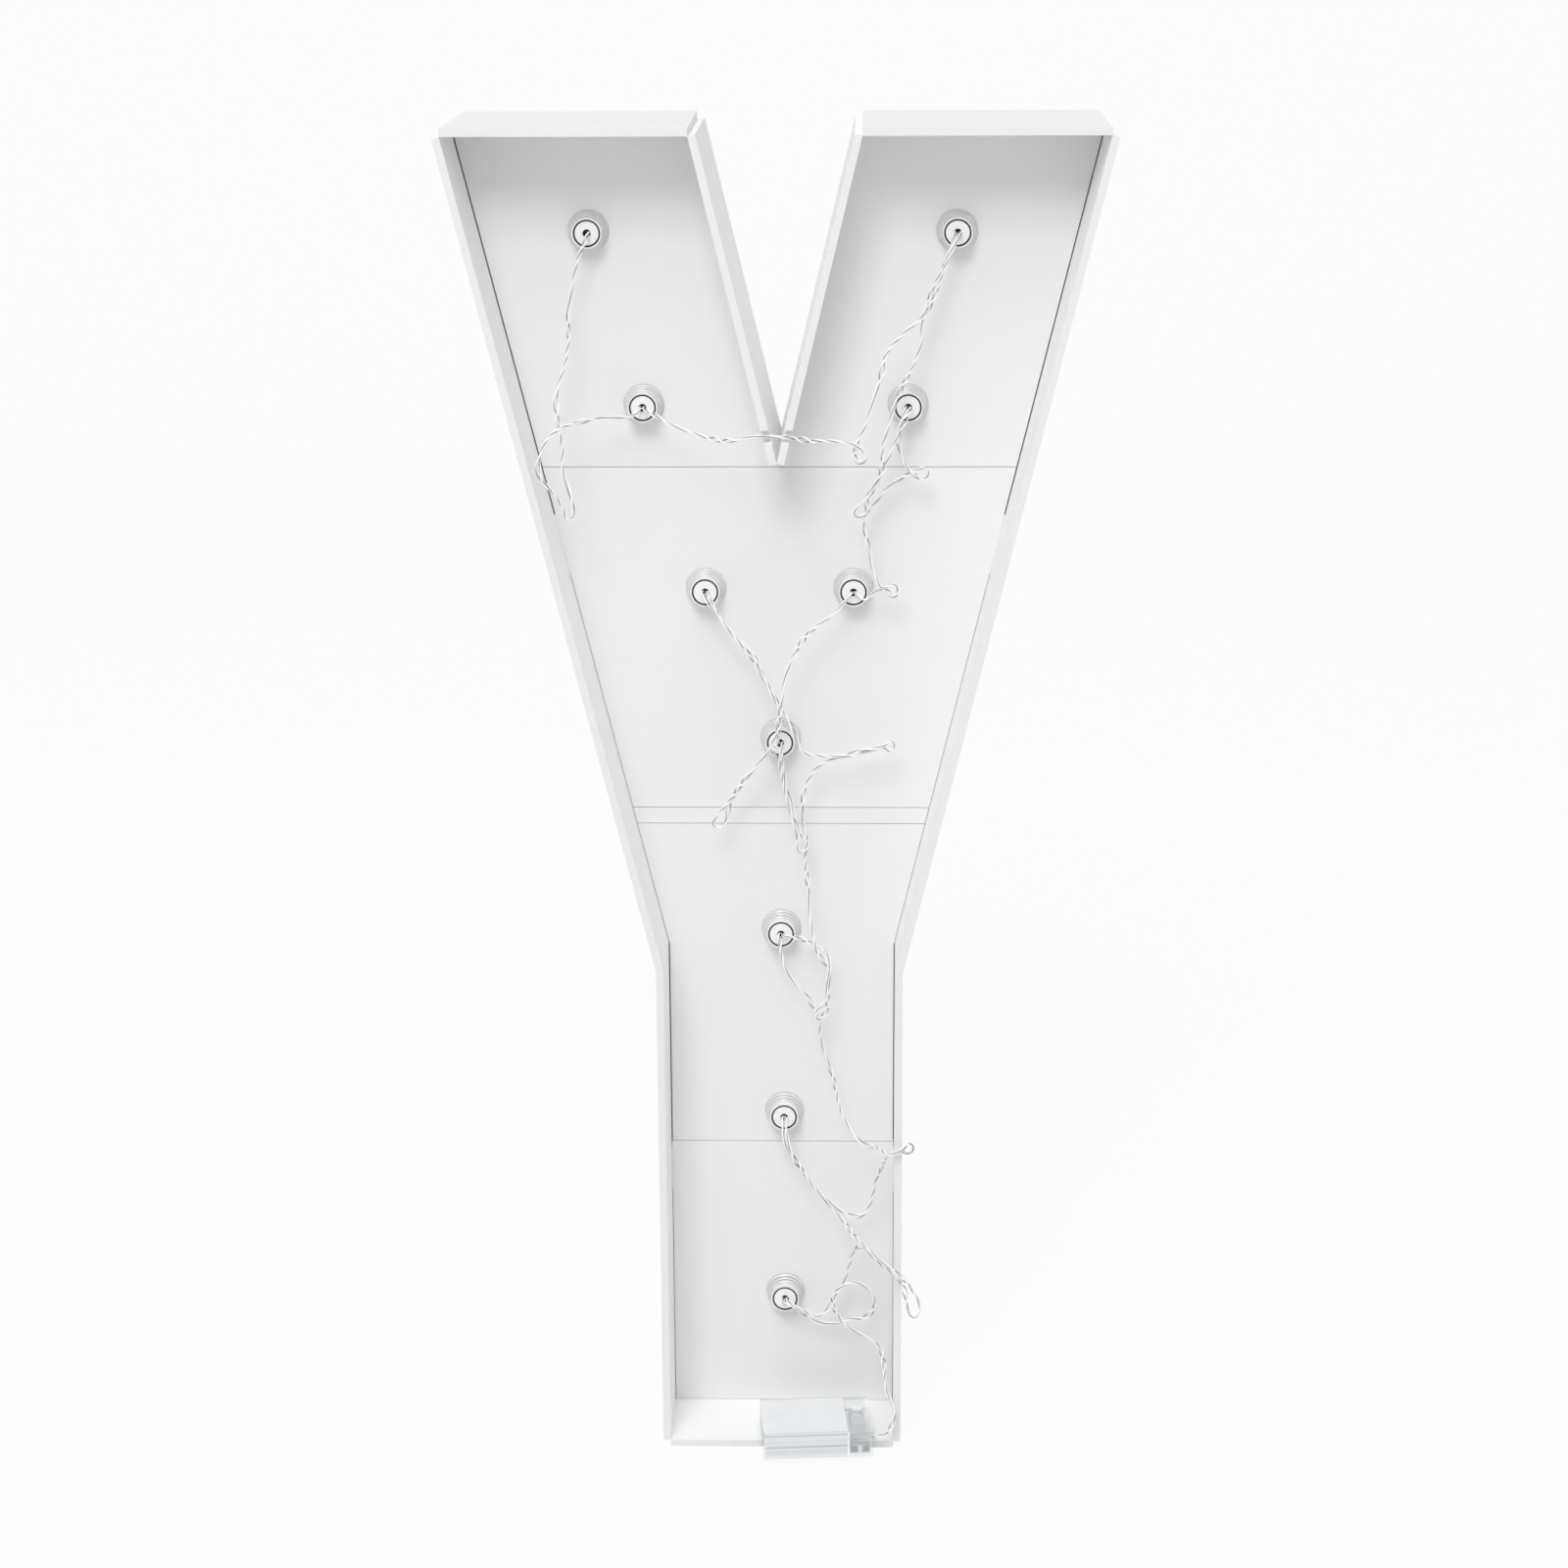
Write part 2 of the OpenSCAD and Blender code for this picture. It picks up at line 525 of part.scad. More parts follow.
module arm_panel(right) {
    low = arm_seam_h + seam_gap / 2;
    high = top_in - panel_gap;
    color("whitesmoke") difference() {
        hand(right) union() {
            panel_slab(arm_outline(low, high, side_gap, panel_gap));
            panel_lip(arm_outline(low, high, lip_clear, lip_clear));
            translate([top_tab_x - top_tab_l / 2, -board / 2, high - cut_past])
                cube([top_tab_l, board, panel_gap + board + cut_past]);
        }
        bulb_holes();
    }
}
module middle_panel() {
    low = strip_top_h + seam_gap / 2;
    high = arm_seam_h - seam_gap / 2;
    tab_low = arm_tab_h - arm_tab_l / 2;
    tab_high = arm_tab_h + arm_tab_l / 2;
    color("whitesmoke") difference() {
        union() {
            panel_slab(stepped_outline(low, arm_tab_h, high, panel_gap, side_gap));
            panel_lip(slant_outline(low, high, lip_clear));
            for (right = [true, false]) hand(right) panel_slab([
                [0, tab_low], [outer_x(tab_low), tab_low], [outer_x(tab_high), tab_high], [0, tab_high]
            ]);
        }
        bulb_holes();
    }
}
module joining_strip() {
    low = strip_low_h + seam_gap / 2;
    high = strip_top_h - seam_gap / 2;
    color("whitesmoke") union() {
        panel_slab(slant_outline(low, high, panel_gap));
        panel_lip(slant_outline(low, high, lip_clear));
    }
}
module upper_stem_panel() {
    low = stem_seam_h + seam_gap / 2;
    high = strip_low_h - seam_gap / 2;
    color("whitesmoke") difference() {
        union() {
            panel_slab(fork_outline(low, high, panel_gap, side_gap));
            panel_lip(fork_outline(low, high, lip_clear, lip_clear));
        }
        bulb_holes();
    }
}
module lower_stem_panel() {
    high = stem_seam_h - seam_gap / 2;
    color("whitesmoke") difference() {
        union() {
            panel_slab(stem_outline(board + panel_gap, high, foot_gap));
            panel_lip(stem_outline(board + lip_clear, high, lip_clear));
            translate([-stem_w / 2, -board / 2, stem_tab_h - stem_tab_l / 2])
                cube([stem_w, board, stem_tab_l]);
        }
        bulb_holes();
    }
}

// Walls: boards folded along their inner edges, with square ends open at the outer corners
module top_wall(right) {
    color("white") hand(right) difference() {
        wall_slab([
            [notch_in_x(top_in), top_in], [inner_x(top_in), top_in],
            [inner_x(top_in), letter_h], [notch_in_x(top_in), letter_h]
        ]);
        top_slot();
    }
}
module upper_wall(right) {
    low = [inner_x(wall_seam_h), wall_seam_h];
    high = [inner_x(top_in), top_in];
    color("white") hand(right) wall_slab([low, low + board * across, high + board * across, high]);
}
module lower_wall(right) {
    high = [inner_x(wall_seam_h), wall_seam_h];
    color("white") hand(right) difference() {
        wall_slab([[stem_in, fork_in_h], [stem_w / 2, fork_h], high + board * across, high]);
        side_slot(stem_in, top_w / 2, arm_tab_h, arm_tab_l);
    }
}
module notch_wall(right) {
    low = [0, notch_h];
    high = [notch_in_x(top_in), top_in];
    notch_z = notch_h + wire_notch_rise;
    color("white") hand(right) difference() {
        wall_slab([low, low + board * across, high, high - board * across]);
        translate([-cut_past, -depth / 2 - cut_past, notch_z - wire_notch_w / 2])
            cube([notch_in_x(notch_z + wire_notch_w) + 2 * cut_past, wire_notch_d + cut_past, wire_notch_w]);
    }
}
module stem_wall(right) {
    color("white") hand(right) difference() {
        wall_slab([[stem_in, board], [stem_w / 2, board], [stem_w / 2, fork_h], [stem_in, fork_in_h]]);
        side_slot(stem_in - cut_past, stem_w / 2 + cut_past, stem_tab_h, stem_tab_l);
    }
}
module bottom_wall() {
    color("white") translate([-stem_in, -depth / 2, 0]) cube([2 * stem_in, depth, board]);
}

// Bulbs: axis through the panel, +Z of the bulb to the front
module at_bulb(i) {
    translate([bulbs[i - 1][0], 0, bulbs[i - 1][1]]) rotate([-90, 0, 0]) children();
}
module span(from, to, r1, r2) {
    translate([0, 0, from]) cylinder(h = to - from, r1 = r1, r2 = r2);
}
module neck_thread(turn) {
    crest = neck_r - turn * thread_step;
    middle = -board / 2 - (turn + 0.5) * thread_pitch;
    translate([0, 0, middle]) rotate_extrude() translate([crest - thread_r, 0]) circle(r = thread_r);
    span(middle - thread_r, middle + thread_r, crest - thread_step, crest - thread_step / 2);
}
module bulb_cover(i) {
    globe_in_r = globe_r - globe_wall;
    flange_top = board / 2 + flange_t;
    color("ghostwhite") at_bulb(i) difference() {
        union() {
            translate([0, 0, globe_z]) sphere(r = globe_r);
            span(flange_top - eps, flange_top + throat_l + eps, neck_r, neck_r);
            span(board / 2, flange_top, flange_d / 2, flange_d / 2);
            span(-board / 2, board / 2 + eps, neck_r, neck_r);
            for (turn = [0 : thread_count - 1]) neck_thread(turn);
            span(-neck_tip, -thread_end + eps, neck_end_d / 2, neck_end_r);
        }
        translate([0, 0, globe_z]) sphere(r = globe_in_r);
        span(-plug_seat, globe_z, plug_bore_r, plug_bore_r);
        span(-neck_tip - cut_past, -plug_seat, plug_d / 2 + plug_ring, plug_d / 2 + plug_ring);
    }
}
module wire_plug(i) {
    color("white") at_bulb(i) difference() {
        union() {
            span(-plug_face, -plug_seat, plug_d / 2, plug_d / 2);
            span(-plug_seat - eps, -plug_front, plug_body_d / 2, plug_body_d / 2);
        }
        span(-plug_face - cut_past, -wire_seat, wire_hole_d / 2, wire_hole_d / 2);
    }
}
module bulb_leds() {
    color("lightyellow") for (i = bulb_numbers) at_bulb(i) union() {
        span(-plug_front, -plug_front + led_l, led_d / 2, led_d / 2);
        translate([0, 0, -plug_front + led_l]) sphere(r = led_d / 2);
    }
}

// Battery box
module at_box() {
    translate([box_x, box_inset - depth / 2, board]) rotate([0, 0, box_turn]) children();
}
module block(from, to) {
    translate(from) cube(to - from);
}
module round_box() {
    block([box_left + box_corner, -box_d / 2, 0], [box_right - box_corner, box_d / 2, box_h]);
    block([box_left, -box_d / 2 + box_corner, 0], [box_right, box_d / 2 - box_corner, box_h]);
    for (x = [box_left + box_corner, box_right - box_corner], y = [-1, 1])
        translate([x, y * (box_d / 2 - box_corner), 0]) cylinder(h = box_h, r = box_corner);
}
module battery_tray() {
    knob_slot = knob_stem / 2 + slide_clear;
    color("lightcyan", 0.6) at_box() difference() {
        union() {
            difference() {
                union() {
                    round_box();
                    for (z = [rail_low_h, rail_high_h])
                        block([box_left + box_corner, -box_d / 2 - rail_out, z],
                            [bay_end, box_d / 2 + rail_out, z + rail_t]);
                }
                block([bay_start, -bay_half, box_wall], [bay_end, bay_half, box_h + cut_past]);
                block([chamber_start, -bay_half, box_wall], [box_right - box_wall, bay_half, deck_under]);
                block([box_left - cut_past, -bay_half - lid_tongue, lid_floor],
                    [lid_end + slide_clear, bay_half + lid_tongue, box_h - lid_lip]);
                block([box_left - cut_past, -bay_half, lid_floor],
                    [lid_end + slide_clear, bay_half, box_h + cut_past]);
            }
            for (y = [-1, 1]) block([bay_start + spring_l, y * cell_pitch / 2 - rib_t / 2, box_wall - eps],
                [bay_end - spring_l, y * cell_pitch / 2 + rib_t / 2, box_wall + rib_h]);
            block([switch_x - switch_w / 4, knob_y - knob_travel / 2 - switch_l / 4, box_wall - eps],
                [switch_x + switch_w / 4, knob_y - knob_travel / 2 + switch_l / 4, switch_floor]);
            translate([box_right - eps, outlet_y, outlet_h]) rotate([0, 90, 0])
                cylinder(h = outlet_l + eps, r = outlet_r + outlet_wall);
        }
        block([switch_x - knob_slot, knob_y - knob_travel - knob_slot, deck_under - cut_past],
            [switch_x + knob_slot, knob_y + knob_slot, box_h + cut_past]);
        translate([box_right, outlet_y, outlet_h]) rotate([0, 90, 0])
            cylinder(h = outlet_l + cut_past, r = outlet_r);
    }
}
module battery_lid() {
    grip_start = box_left + 2 * grip_pitch;
    color("azure", 0.6) at_box() union() {
        block([box_left, -bay_half - lid_tongue + slide_clear, lid_floor + slide_clear],
            [lid_end, bay_half + lid_tongue - slide_clear, box_h - lid_lip - slide_clear]);
        block([box_left, -bay_half + slide_clear, lid_floor + slide_clear],
            [lid_end, bay_half - slide_clear, box_h]);
        for (i = [0 : grip_count - 1])
            block([grip_start + i * grip_pitch, -grip_l / 2, box_h - eps],
                [grip_start + i * grip_pitch + grip_w, grip_l / 2, box_h + grip_h]);
    }
}
module switch_body() {
    middle = knob_y - knob_travel / 2;
    color("dimgray") at_box() block([switch_x - switch_w / 2, middle - switch_l / 2, switch_floor],
        [switch_x + switch_w / 2, middle + switch_l / 2, switch_top]);
}
module switch_knob() {
    wide = knob_stem / 2 + knob_lap;
    foot_z = switch_top + slide_clear;
    color("slategray") at_box() translate([switch_x, knob_y, 0]) union() {
        block([-wide, -wide, foot_z], [wide, wide, foot_z + knob_foot_t]);
        block([-knob_stem / 2, -knob_stem / 2, foot_z],
            [knob_stem / 2, knob_stem / 2, box_h + 2 * slide_clear]);
        block([-wide, -wide, box_h + slide_clear], [wide, wide, box_h + slide_clear + knob_cap_t]);
    }
}

// Contacts: cells lie head to tail, so springs and buttons change ends
function cell_y(i) = (i - (cell_count - 1) / 2) * cell_pitch;
module at_contact(i, spring) {
    at_left = (i % 2 == 0) == spring;
    translate([at_left ? bay_start : bay_end, cell_y(i), cell_z])
        rotate([0, 0, at_left ? 0 : 180]) children();
}
module contact_plates() {
    color("silver") at_box() for (i = [0 : cell_count - 1]) {
        at_contact(i, true)
            block([0, -contact_w / 2, -contact_h / 2], [contact_t, contact_w / 2, contact_h / 2]);
        at_contact(i, false) union() {
            block([0, -contact_w / 2, -contact_h / 2], [contact_t, contact_w / 2, contact_h / 2]);
            rotate([0, 90, 0]) cylinder(h = contact_t + button_h, r = button_d / 2);
        }
    }
}
module contact_springs() {
    color("gainsboro") at_box() for (i = [0 : cell_count - 1])
        at_contact(i, true) translate([contact_t, 0, 0])
            tube(spring_points, spring_wire_d / 2, spring_sides, [1, 0, 0]);
}

// Wires
module wire(i) {
    color("white") tube(smooth(wire_routes[i], wire_steps), wire_d / 2, wire_sides, [0.3, 0.2, 1]);
}

arm_panel(false);  // left_arm_panel
arm_panel(true);  // right_arm_panel
middle_panel();
joining_strip();
upper_stem_panel();
lower_stem_panel();
top_wall(false);  // left_top_wall
top_wall(true);  // right_top_wall
upper_wall(false);  // left_upper_wall
upper_wall(true);  // right_upper_wall
lower_wall(false);  // left_lower_wall
lower_wall(true);  // right_lower_wall
notch_wall(false);  // left_notch_wall
notch_wall(true);  // right_notch_wall
stem_wall(false);  // left_stem_wall
stem_wall(true);  // right_stem_wall
bottom_wall();
for (i = bulb_numbers) bulb_cover(i);
for (i = bulb_numbers) wire_plug(i);
bulb_leds();
battery_tray();
battery_lid();
switch_body();
switch_knob();
contact_plates();
contact_springs();
for (i = [0 : len(wire_names) - 1]) wire(i);
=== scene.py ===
"""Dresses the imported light-up letter: foam board, bulbs, twisted wires, battery box and a plain studio."""

import math

import bmesh
import bpy
from mathutils import Matrix, Vector


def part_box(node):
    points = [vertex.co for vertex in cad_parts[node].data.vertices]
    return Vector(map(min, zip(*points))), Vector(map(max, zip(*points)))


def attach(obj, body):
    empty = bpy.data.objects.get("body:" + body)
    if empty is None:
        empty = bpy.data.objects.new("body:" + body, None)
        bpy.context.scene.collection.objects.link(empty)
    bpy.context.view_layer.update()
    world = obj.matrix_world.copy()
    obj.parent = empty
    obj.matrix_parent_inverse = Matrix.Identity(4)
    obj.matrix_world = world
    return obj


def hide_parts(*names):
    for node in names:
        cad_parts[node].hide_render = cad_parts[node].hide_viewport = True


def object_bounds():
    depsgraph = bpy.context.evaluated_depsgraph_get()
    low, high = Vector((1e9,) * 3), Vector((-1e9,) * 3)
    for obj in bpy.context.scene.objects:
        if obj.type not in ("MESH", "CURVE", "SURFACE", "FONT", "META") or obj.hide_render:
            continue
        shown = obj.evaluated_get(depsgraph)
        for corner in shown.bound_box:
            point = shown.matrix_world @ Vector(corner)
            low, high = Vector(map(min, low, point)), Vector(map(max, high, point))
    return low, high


bl_info = {
    "name": "Light-up Letter",
    "version": (1, 0, 0),
    "blender": (4, 5, 0),
    "location": "3D View > Sidebar > Letter",
    "description": "Finishes a light-up letter of foam board with bulbs, wires and a battery box",
    "category": "Object",
}

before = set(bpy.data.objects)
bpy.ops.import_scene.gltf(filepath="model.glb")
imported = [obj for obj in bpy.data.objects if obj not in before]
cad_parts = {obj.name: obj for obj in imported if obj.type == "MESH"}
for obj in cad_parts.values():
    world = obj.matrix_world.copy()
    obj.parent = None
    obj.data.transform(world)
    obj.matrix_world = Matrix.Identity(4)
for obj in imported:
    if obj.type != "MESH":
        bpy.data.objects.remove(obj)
cad_low, cad_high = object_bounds()

MILLIMETRE = 0.001
ROOT_BODY = "letter"
BULBS = range(1, 11)
WHITE = (1, 1, 1, 1)

FACE_PANELS = ["left_arm_panel", "right_arm_panel", "middle_panel", "joining_strip", "upper_stem_panel",
               "lower_stem_panel"]
TOP_WALLS = ["left_top_wall", "right_top_wall"]
WALLS = ["left_upper_wall", "right_upper_wall", "left_lower_wall", "right_lower_wall", "left_notch_wall",
         "right_notch_wall", "left_stem_wall", "right_stem_wall", "bottom_wall"]

# Kinds of setting that the property groups share
COLOUR = {"subtype": "COLOR", "size": 3, "min": 0, "max": 1}
SHARE = {"subtype": "FACTOR", "min": 0, "max": 1}
LENGTH = {"unit": "LENGTH", "min": 0}
PLACE = {"subtype": "TRANSLATION", "unit": "LENGTH", "size": 3}

# Sockets of a mix node, for colours and for plain values
MIX_SHARE = 0
COLOUR_FIRST = 6
COLOUR_SECOND = 7
COLOUR_RESULT = 2
VALUE_FIRST = 2
VALUE_SECOND = 3
VALUE_RESULT = 0

# Stage: film width in millimetres, how far the camera sees, and the floor with its sweep at the back
FILM_WIDTH = 36
FAR_CLIP = 50
FLOOR_HALF_WIDTH = 6.0
FLOOR_FRONT = -5.0
FLOOR_BACK = 3.0
FLOOR_SWEEP = 1.5
FLOOR_TOP = 5.0
FLOOR_ROUGHNESS = 0.8
SWEEP_STEPS = 12

# Foam board: depth beyond which the floors of the open lines lie, which take painted shade, and the cells
# along the cut rims
LINE_DEPTH = -2.3 * MILLIMETRE
CELL_SCALE = 1300.0
CELL_DEPTH = 5.0

# Panel tabs that end flush with the outside of the side walls: middle below the panel's top, and half length
ARM_TAB_DROP = 52 * MILLIMETRE
ARM_TAB_HALF = 20.4 * MILLIMETRE
STEM_TAB_DROP = 21 * MILLIMETRE
STEM_TAB_HALF = 17.4 * MILLIMETRE

# Black rings in the gaps round the plugs, and dark linings in the plugs' wire holes as painted shade, from
# each plug's face
SEAL_LIP = 7.75 * MILLIMETRE
SEAL_INNER = 8.2 * MILLIMETRE
SEAL_OUTER = 8.9 * MILLIMETRE
SEAL_BACK = -0.12 * MILLIMETRE
SEAL_FRONT = 2.5 * MILLIMETRE
HOLE_SHADE_INNER = 2.5 * MILLIMETRE
HOLE_SHADE_OUTER = 2.6 * MILLIMETRE
HOLE_SHADE_PIN = 0.5 * MILLIMETRE
HOLE_SHADE_FLOOR = 4.6 * MILLIMETRE
SPIN_STEPS = 40
MERGE_DISTANCE = 0.01 * MILLIMETRE

# Threads of the necks behind the panels: first and last groove, spacing, and half width of a groove's painted
# shade
THREAD_FIRST = -5.5 * MILLIMETRE
THREAD_LAST = -11.5 * MILLIMETRE
THREAD_PITCH = 3 * MILLIMETRE
GROOVE_HALF = 0.6 * MILLIMETRE

# Battery box in the letter's frame: middle of its underside, its turn, and where the wire leaves it
BOX_MIDDLE = Vector((24, -63.5, 5)) * MILLIMETRE
BOX_TURN = math.radians(5)
OUTLET = Vector((38, -17, 10)) * MILLIMETRE
OUTLET_LEAD = Vector((42.6, -17, 10)) * MILLIMETRE

# Dark circuit board on edge in the switch chamber, which also stands for the shade there, and its pale post,
# in the box's frame
BOARD_LOW = Vector((22.4, -24.4, 2)) * MILLIMETRE
BOARD_HIGH = Vector((35.6, -22.8, 9.2)) * MILLIMETRE
POST_LOW = Vector((27.4, -25, 2)) * MILLIMETRE
POST_HIGH = Vector((30.6, -24.6, 8.4)) * MILLIMETRE
FITTING_BEVEL = 0.15 * MILLIMETRE

# Clear tray in the box's frame: painted shade lines under its lip and over its lower rail, its thick foot and
# its divider
LIP_LINE = 17.5 * MILLIMETRE
RAIL_LINE = 8.8 * MILLIMETRE
LINE_HALF = 0.4 * MILLIMETRE
FOOT_TOP = 6.6 * MILLIMETRE
DIVIDER = 20.9 * MILLIMETRE
DIVIDER_HALF = 0.7 * MILLIMETRE
LINE_COVER = 0.85

# Bright and dull tone of the contact plates and of the springs
PLATE_BRIGHT = (0.62, 0.62, 0.61)
PLATE_DULL = (0.4, 0.4, 0.4)
SPRING_BRIGHT = (0.66, 0.66, 0.67)
SPRING_DULL = (0.45, 0.45, 0.46)

# Wire ends: depth of a plug's hole, seats to either side of its middle, and straight leads behind the plug
SEAT_DEPTH = 5 * MILLIMETRE
SEAT_SIDE = 1.3 * MILLIMETRE
LEFT = -1
RIGHT = 1
SHORT_LEAD = 8 * MILLIMETRE
LONG_LEAD = 12 * MILLIMETRE

# Strands of a pair: steps between two points of a route, spacing along the wire, points round a strand, and
# how squarely a point faces the other strand where the painted shade in the groove between them is full
SMOOTH_STEPS = 8
LINE_STEP = 1.3 * MILLIMETRE
STRAND_ROUNDING = 3
RING_POINTS = 4 + 2 * STRAND_ROUNDING
GROOVE_SHADE_FULL = 0.8

# Uneven twist: spacing of the loose eyes and of two slow swings in turns, size of the swings in radians, step
# in angle from one wire's start to the next, and the first strand's side at a wire's start
EYE_TURNS = 2.1
WANDER_TURNS = 2.3
WANDER_SWING = 1.1
DRIFT_TURNS = 5.1
DRIFT_SWING = 0.9
START_STEP = 1.7
FIRST_SIDE = Vector((0.3, 0.2, 1))

# Doubled-back tails: the point before each tip and how many pairs of points belong to it, how many of them
# make the loop at the tip, and how close the others lie, in millimetres
TAILS_9_TO_8 = [(13, 4)]
TAILS_8_TO_5 = [(7, 5), (28, 5)]
TAILS_7_TO_6 = [(5, 6), (18, 5)]
TAILS_6_TO_4 = [(3, 3), (17, 3)]
TAILS_4_TO_2 = [(6, 5)]
LOOP_PAIRS = 2
TAIL_GAP = 1.6
TAIL_DEPTH = 2.6

# Free points of each wire between its two ends, in millimetres
BOX_TO_10 = [
    (74, -76, 18), (78, -73, 24), (79, -71, 31), (76, -67, 38), (73, -60, 43), (72, -50, 48),
    (71, -38, 56), (66, -31, 64), (57, -29, 69), (47, -28, 74), (40, -28, 82), (36, -28, 90),
    (36, -27, 98), (40, -27, 104), (47, -26, 108), (55, -26, 107), (62, -25, 101), (65, -24, 93),
    (63, -23, 84), (56, -22, 79), (47, -22, 78), (38, -22, 75), (28, -22, 75), (20, -22, 78),
    (13, -22, 84)]
FROM_10_TO_9 = [
    (8, -27, 90), (15, -27, 87), (23, -26, 82), (30, -25, 85), (34, -23, 90), (37, -22, 97),
    (42, -22, 104), (45, -22, 112), (47, -23, 120), (49, -25, 129), (52, -29, 136), (56, -36, 140),
    (61, -46, 140), (66, -56, 139), (72, -64, 137), (78, -68, 134), (83, -70, 129), (86, -72, 122),
    (87, -73, 114), (89, -74, 107), (93, -74, 105), (96, -74, 110), (95, -74, 117), (91, -75, 125),
    (87, -75, 131), (81, -74, 137), (74, -72, 142), (65, -62, 145), (58, -50, 147), (51, -40, 150),
    (45, -33, 156), (32, -27, 169), (20, -25, 184), (10, -25, 200), (2, -25, 214)]
FROM_9_TO_8 = [
    (4, -28, 218), (9, -30, 204), (19, -31, 188), (31, -31, 174), (45, -31, 163), (55, -28, 160),
    (61, -27, 167), (64, -28, 178), (66, -34, 191), (69, -48, 204), (74, -69, 219), (82, -71, 224),
    (87, -71, 226), (90, -72, 228), (90, -73, 232), (87, -73, 233), (82, -73, 231), (74, -70, 229),
    (66, -52, 222), (58, -38, 218), (49, -29, 224), (41, -24, 238), (36, -22, 260), (32, -22, 274),
    (27, -22, 290), (26, -22, 304), (20, -22, 318), (10, -23, 331), (2, -24, 345)]
FROM_8_TO_5 = [
    (10, -24, 365), (20, -24, 361), (31, -24, 354), (36, -26, 344), (35, -28, 333), (34, -30, 322),
    (31, -31, 314), (27, -32, 309), (24, -33, 310), (25, -33, 315), (29, -32, 322), (30, -32, 334),
    (30, -32, 346), (25, -31, 357), (22, -29, 369), (20, -27, 382), (19, -25, 396), (18, -24, 410),
    (17, -23, 422), (18, -22, 436), (15, -22, 449), (15, -23, 462), (19, -24, 477), (26, -25, 487),
    (39, -26, 491), (54, -27, 495), (68, -28, 498), (74, -28, 499), (77, -29, 500), (77, -29, 504),
    (74, -30, 506), (68, -30, 505), (54, -30, 501), (39, -29, 498), (25, -29, 496), (16, -29, 498),
    (12, -29, 505), (8, -29, 517), (2, -28, 528), (-5, -27, 540), (-11, -26, 551), (-16, -25, 562),
    (-27, -24, 574), (-37, -24, 586), (-43, -24, 597)]
FROM_5_TO_7 = [
    (-45, -27, 598), (-38, -28, 588), (-28, -29, 576), (-18, -30, 564), (-12, -31, 552),
    (-6, -31, 541), (-1, -31, 530), (0, -28, 519), (-1, -24, 511)]
FROM_7_TO_6 = [
    (2, -22, 489), (5, -22, 472), (10, -23, 454), (15, -25, 440), (18, -26, 434), (17, -27, 429),
    (13, -28, 428), (11, -28, 432), (10, -28, 443), (5, -28, 458), (2, -28, 473), (0, -30, 488),
    (-2, -31, 499), (-6, -31, 501), (-11, -30, 494), (-19, -28, 479), (-28, -25, 464), (-36, -24, 450),
    (-39, -25, 445), (-43, -25, 444), (-45, -26, 449), (-40, -27, 461), (-28, -28, 477), (-16, -31, 489),
    (-7, -35, 501), (-2, -37, 513), (0, -36, 524), (2, -35, 537), (4, -33, 550), (9, -31, 564),
    (18, -28, 578), (29, -26, 587), (38, -24, 594)]
FROM_6_TO_4 = [
    (57, -23, 602), (67, -24, 605), (75, -25, 605), (78, -26, 606), (79, -26, 610), (76, -27, 613),
    (68, -27, 616), (62, -26, 624), (60, -25, 634), (58, -24, 644), (56, -23, 652), (58, -22, 660),
    (64, -22, 667), (70, -22, 675), (77, -22, 681), (87, -23, 683), (94, -24, 683), (98, -25, 685),
    (98, -25, 689), (94, -26, 691), (87, -26, 692), (81, -25, 699), (79, -24, 709), (80, -23, 719)]
FROM_4_TO_2 = [
    (82, -29, 721), (76, -30, 707), (73, -30, 695), (69, -30, 684), (62, -30, 672), (58, -30, 663),
    (55, -31, 660), (51, -32, 660), (50, -32, 664), (53, -33, 670), (59, -34, 679), (65, -34, 690),
    (68, -34, 703), (71, -34, 716), (75, -33, 730), (80, -31, 744), (88, -28, 758), (93, -26, 773),
    (94, -24, 786), (99, -23, 804), (107, -22, 822)]
FROM_2_TO_3 = [
    (114, -28, 836), (109, -30, 826), (105, -31, 814), (101, -32, 803), (94, -33, 791), (82, -36, 781),
    (71, -40, 769), (67, -43, 754), (62, -46, 738), (57, -49, 723), (52, -51, 712), (50, -53, 704),
    (53, -54, 700), (57, -56, 702), (56, -57, 708), (50, -58, 712), (42, -58, 714), (32, -59, 715),
    (21, -59, 715), (10, -59, 717), (0, -59, 718), (-10, -59, 718), (-19, -58, 717), (-29, -54, 714),
    (-42, -46, 714), (-57, -38, 717), (-70, -32, 721), (-80, -27, 726)]
FROM_3_TO_1 = [
    (-97, -24, 725), (-117, -34, 725), (-137, -48, 723), (-148, -54, 716), (-153, -56, 706),
    (-155, -57, 697), (-153, -57, 689), (-147, -55, 682), (-141, -52, 672), (-139, -51, 666),
    (-138, -50, 662), (-134, -49, 662), (-133, -48, 667), (-136, -46, 680), (-140, -44, 692),
    (-140, -42, 706), (-142, -40, 720), (-144, -37, 736), (-142, -33, 748), (-138, -29, 761),
    (-136, -26, 775), (-136, -24, 793), (-133, -23, 809), (-129, -22, 827)]


# Sizes and colours that a user would change


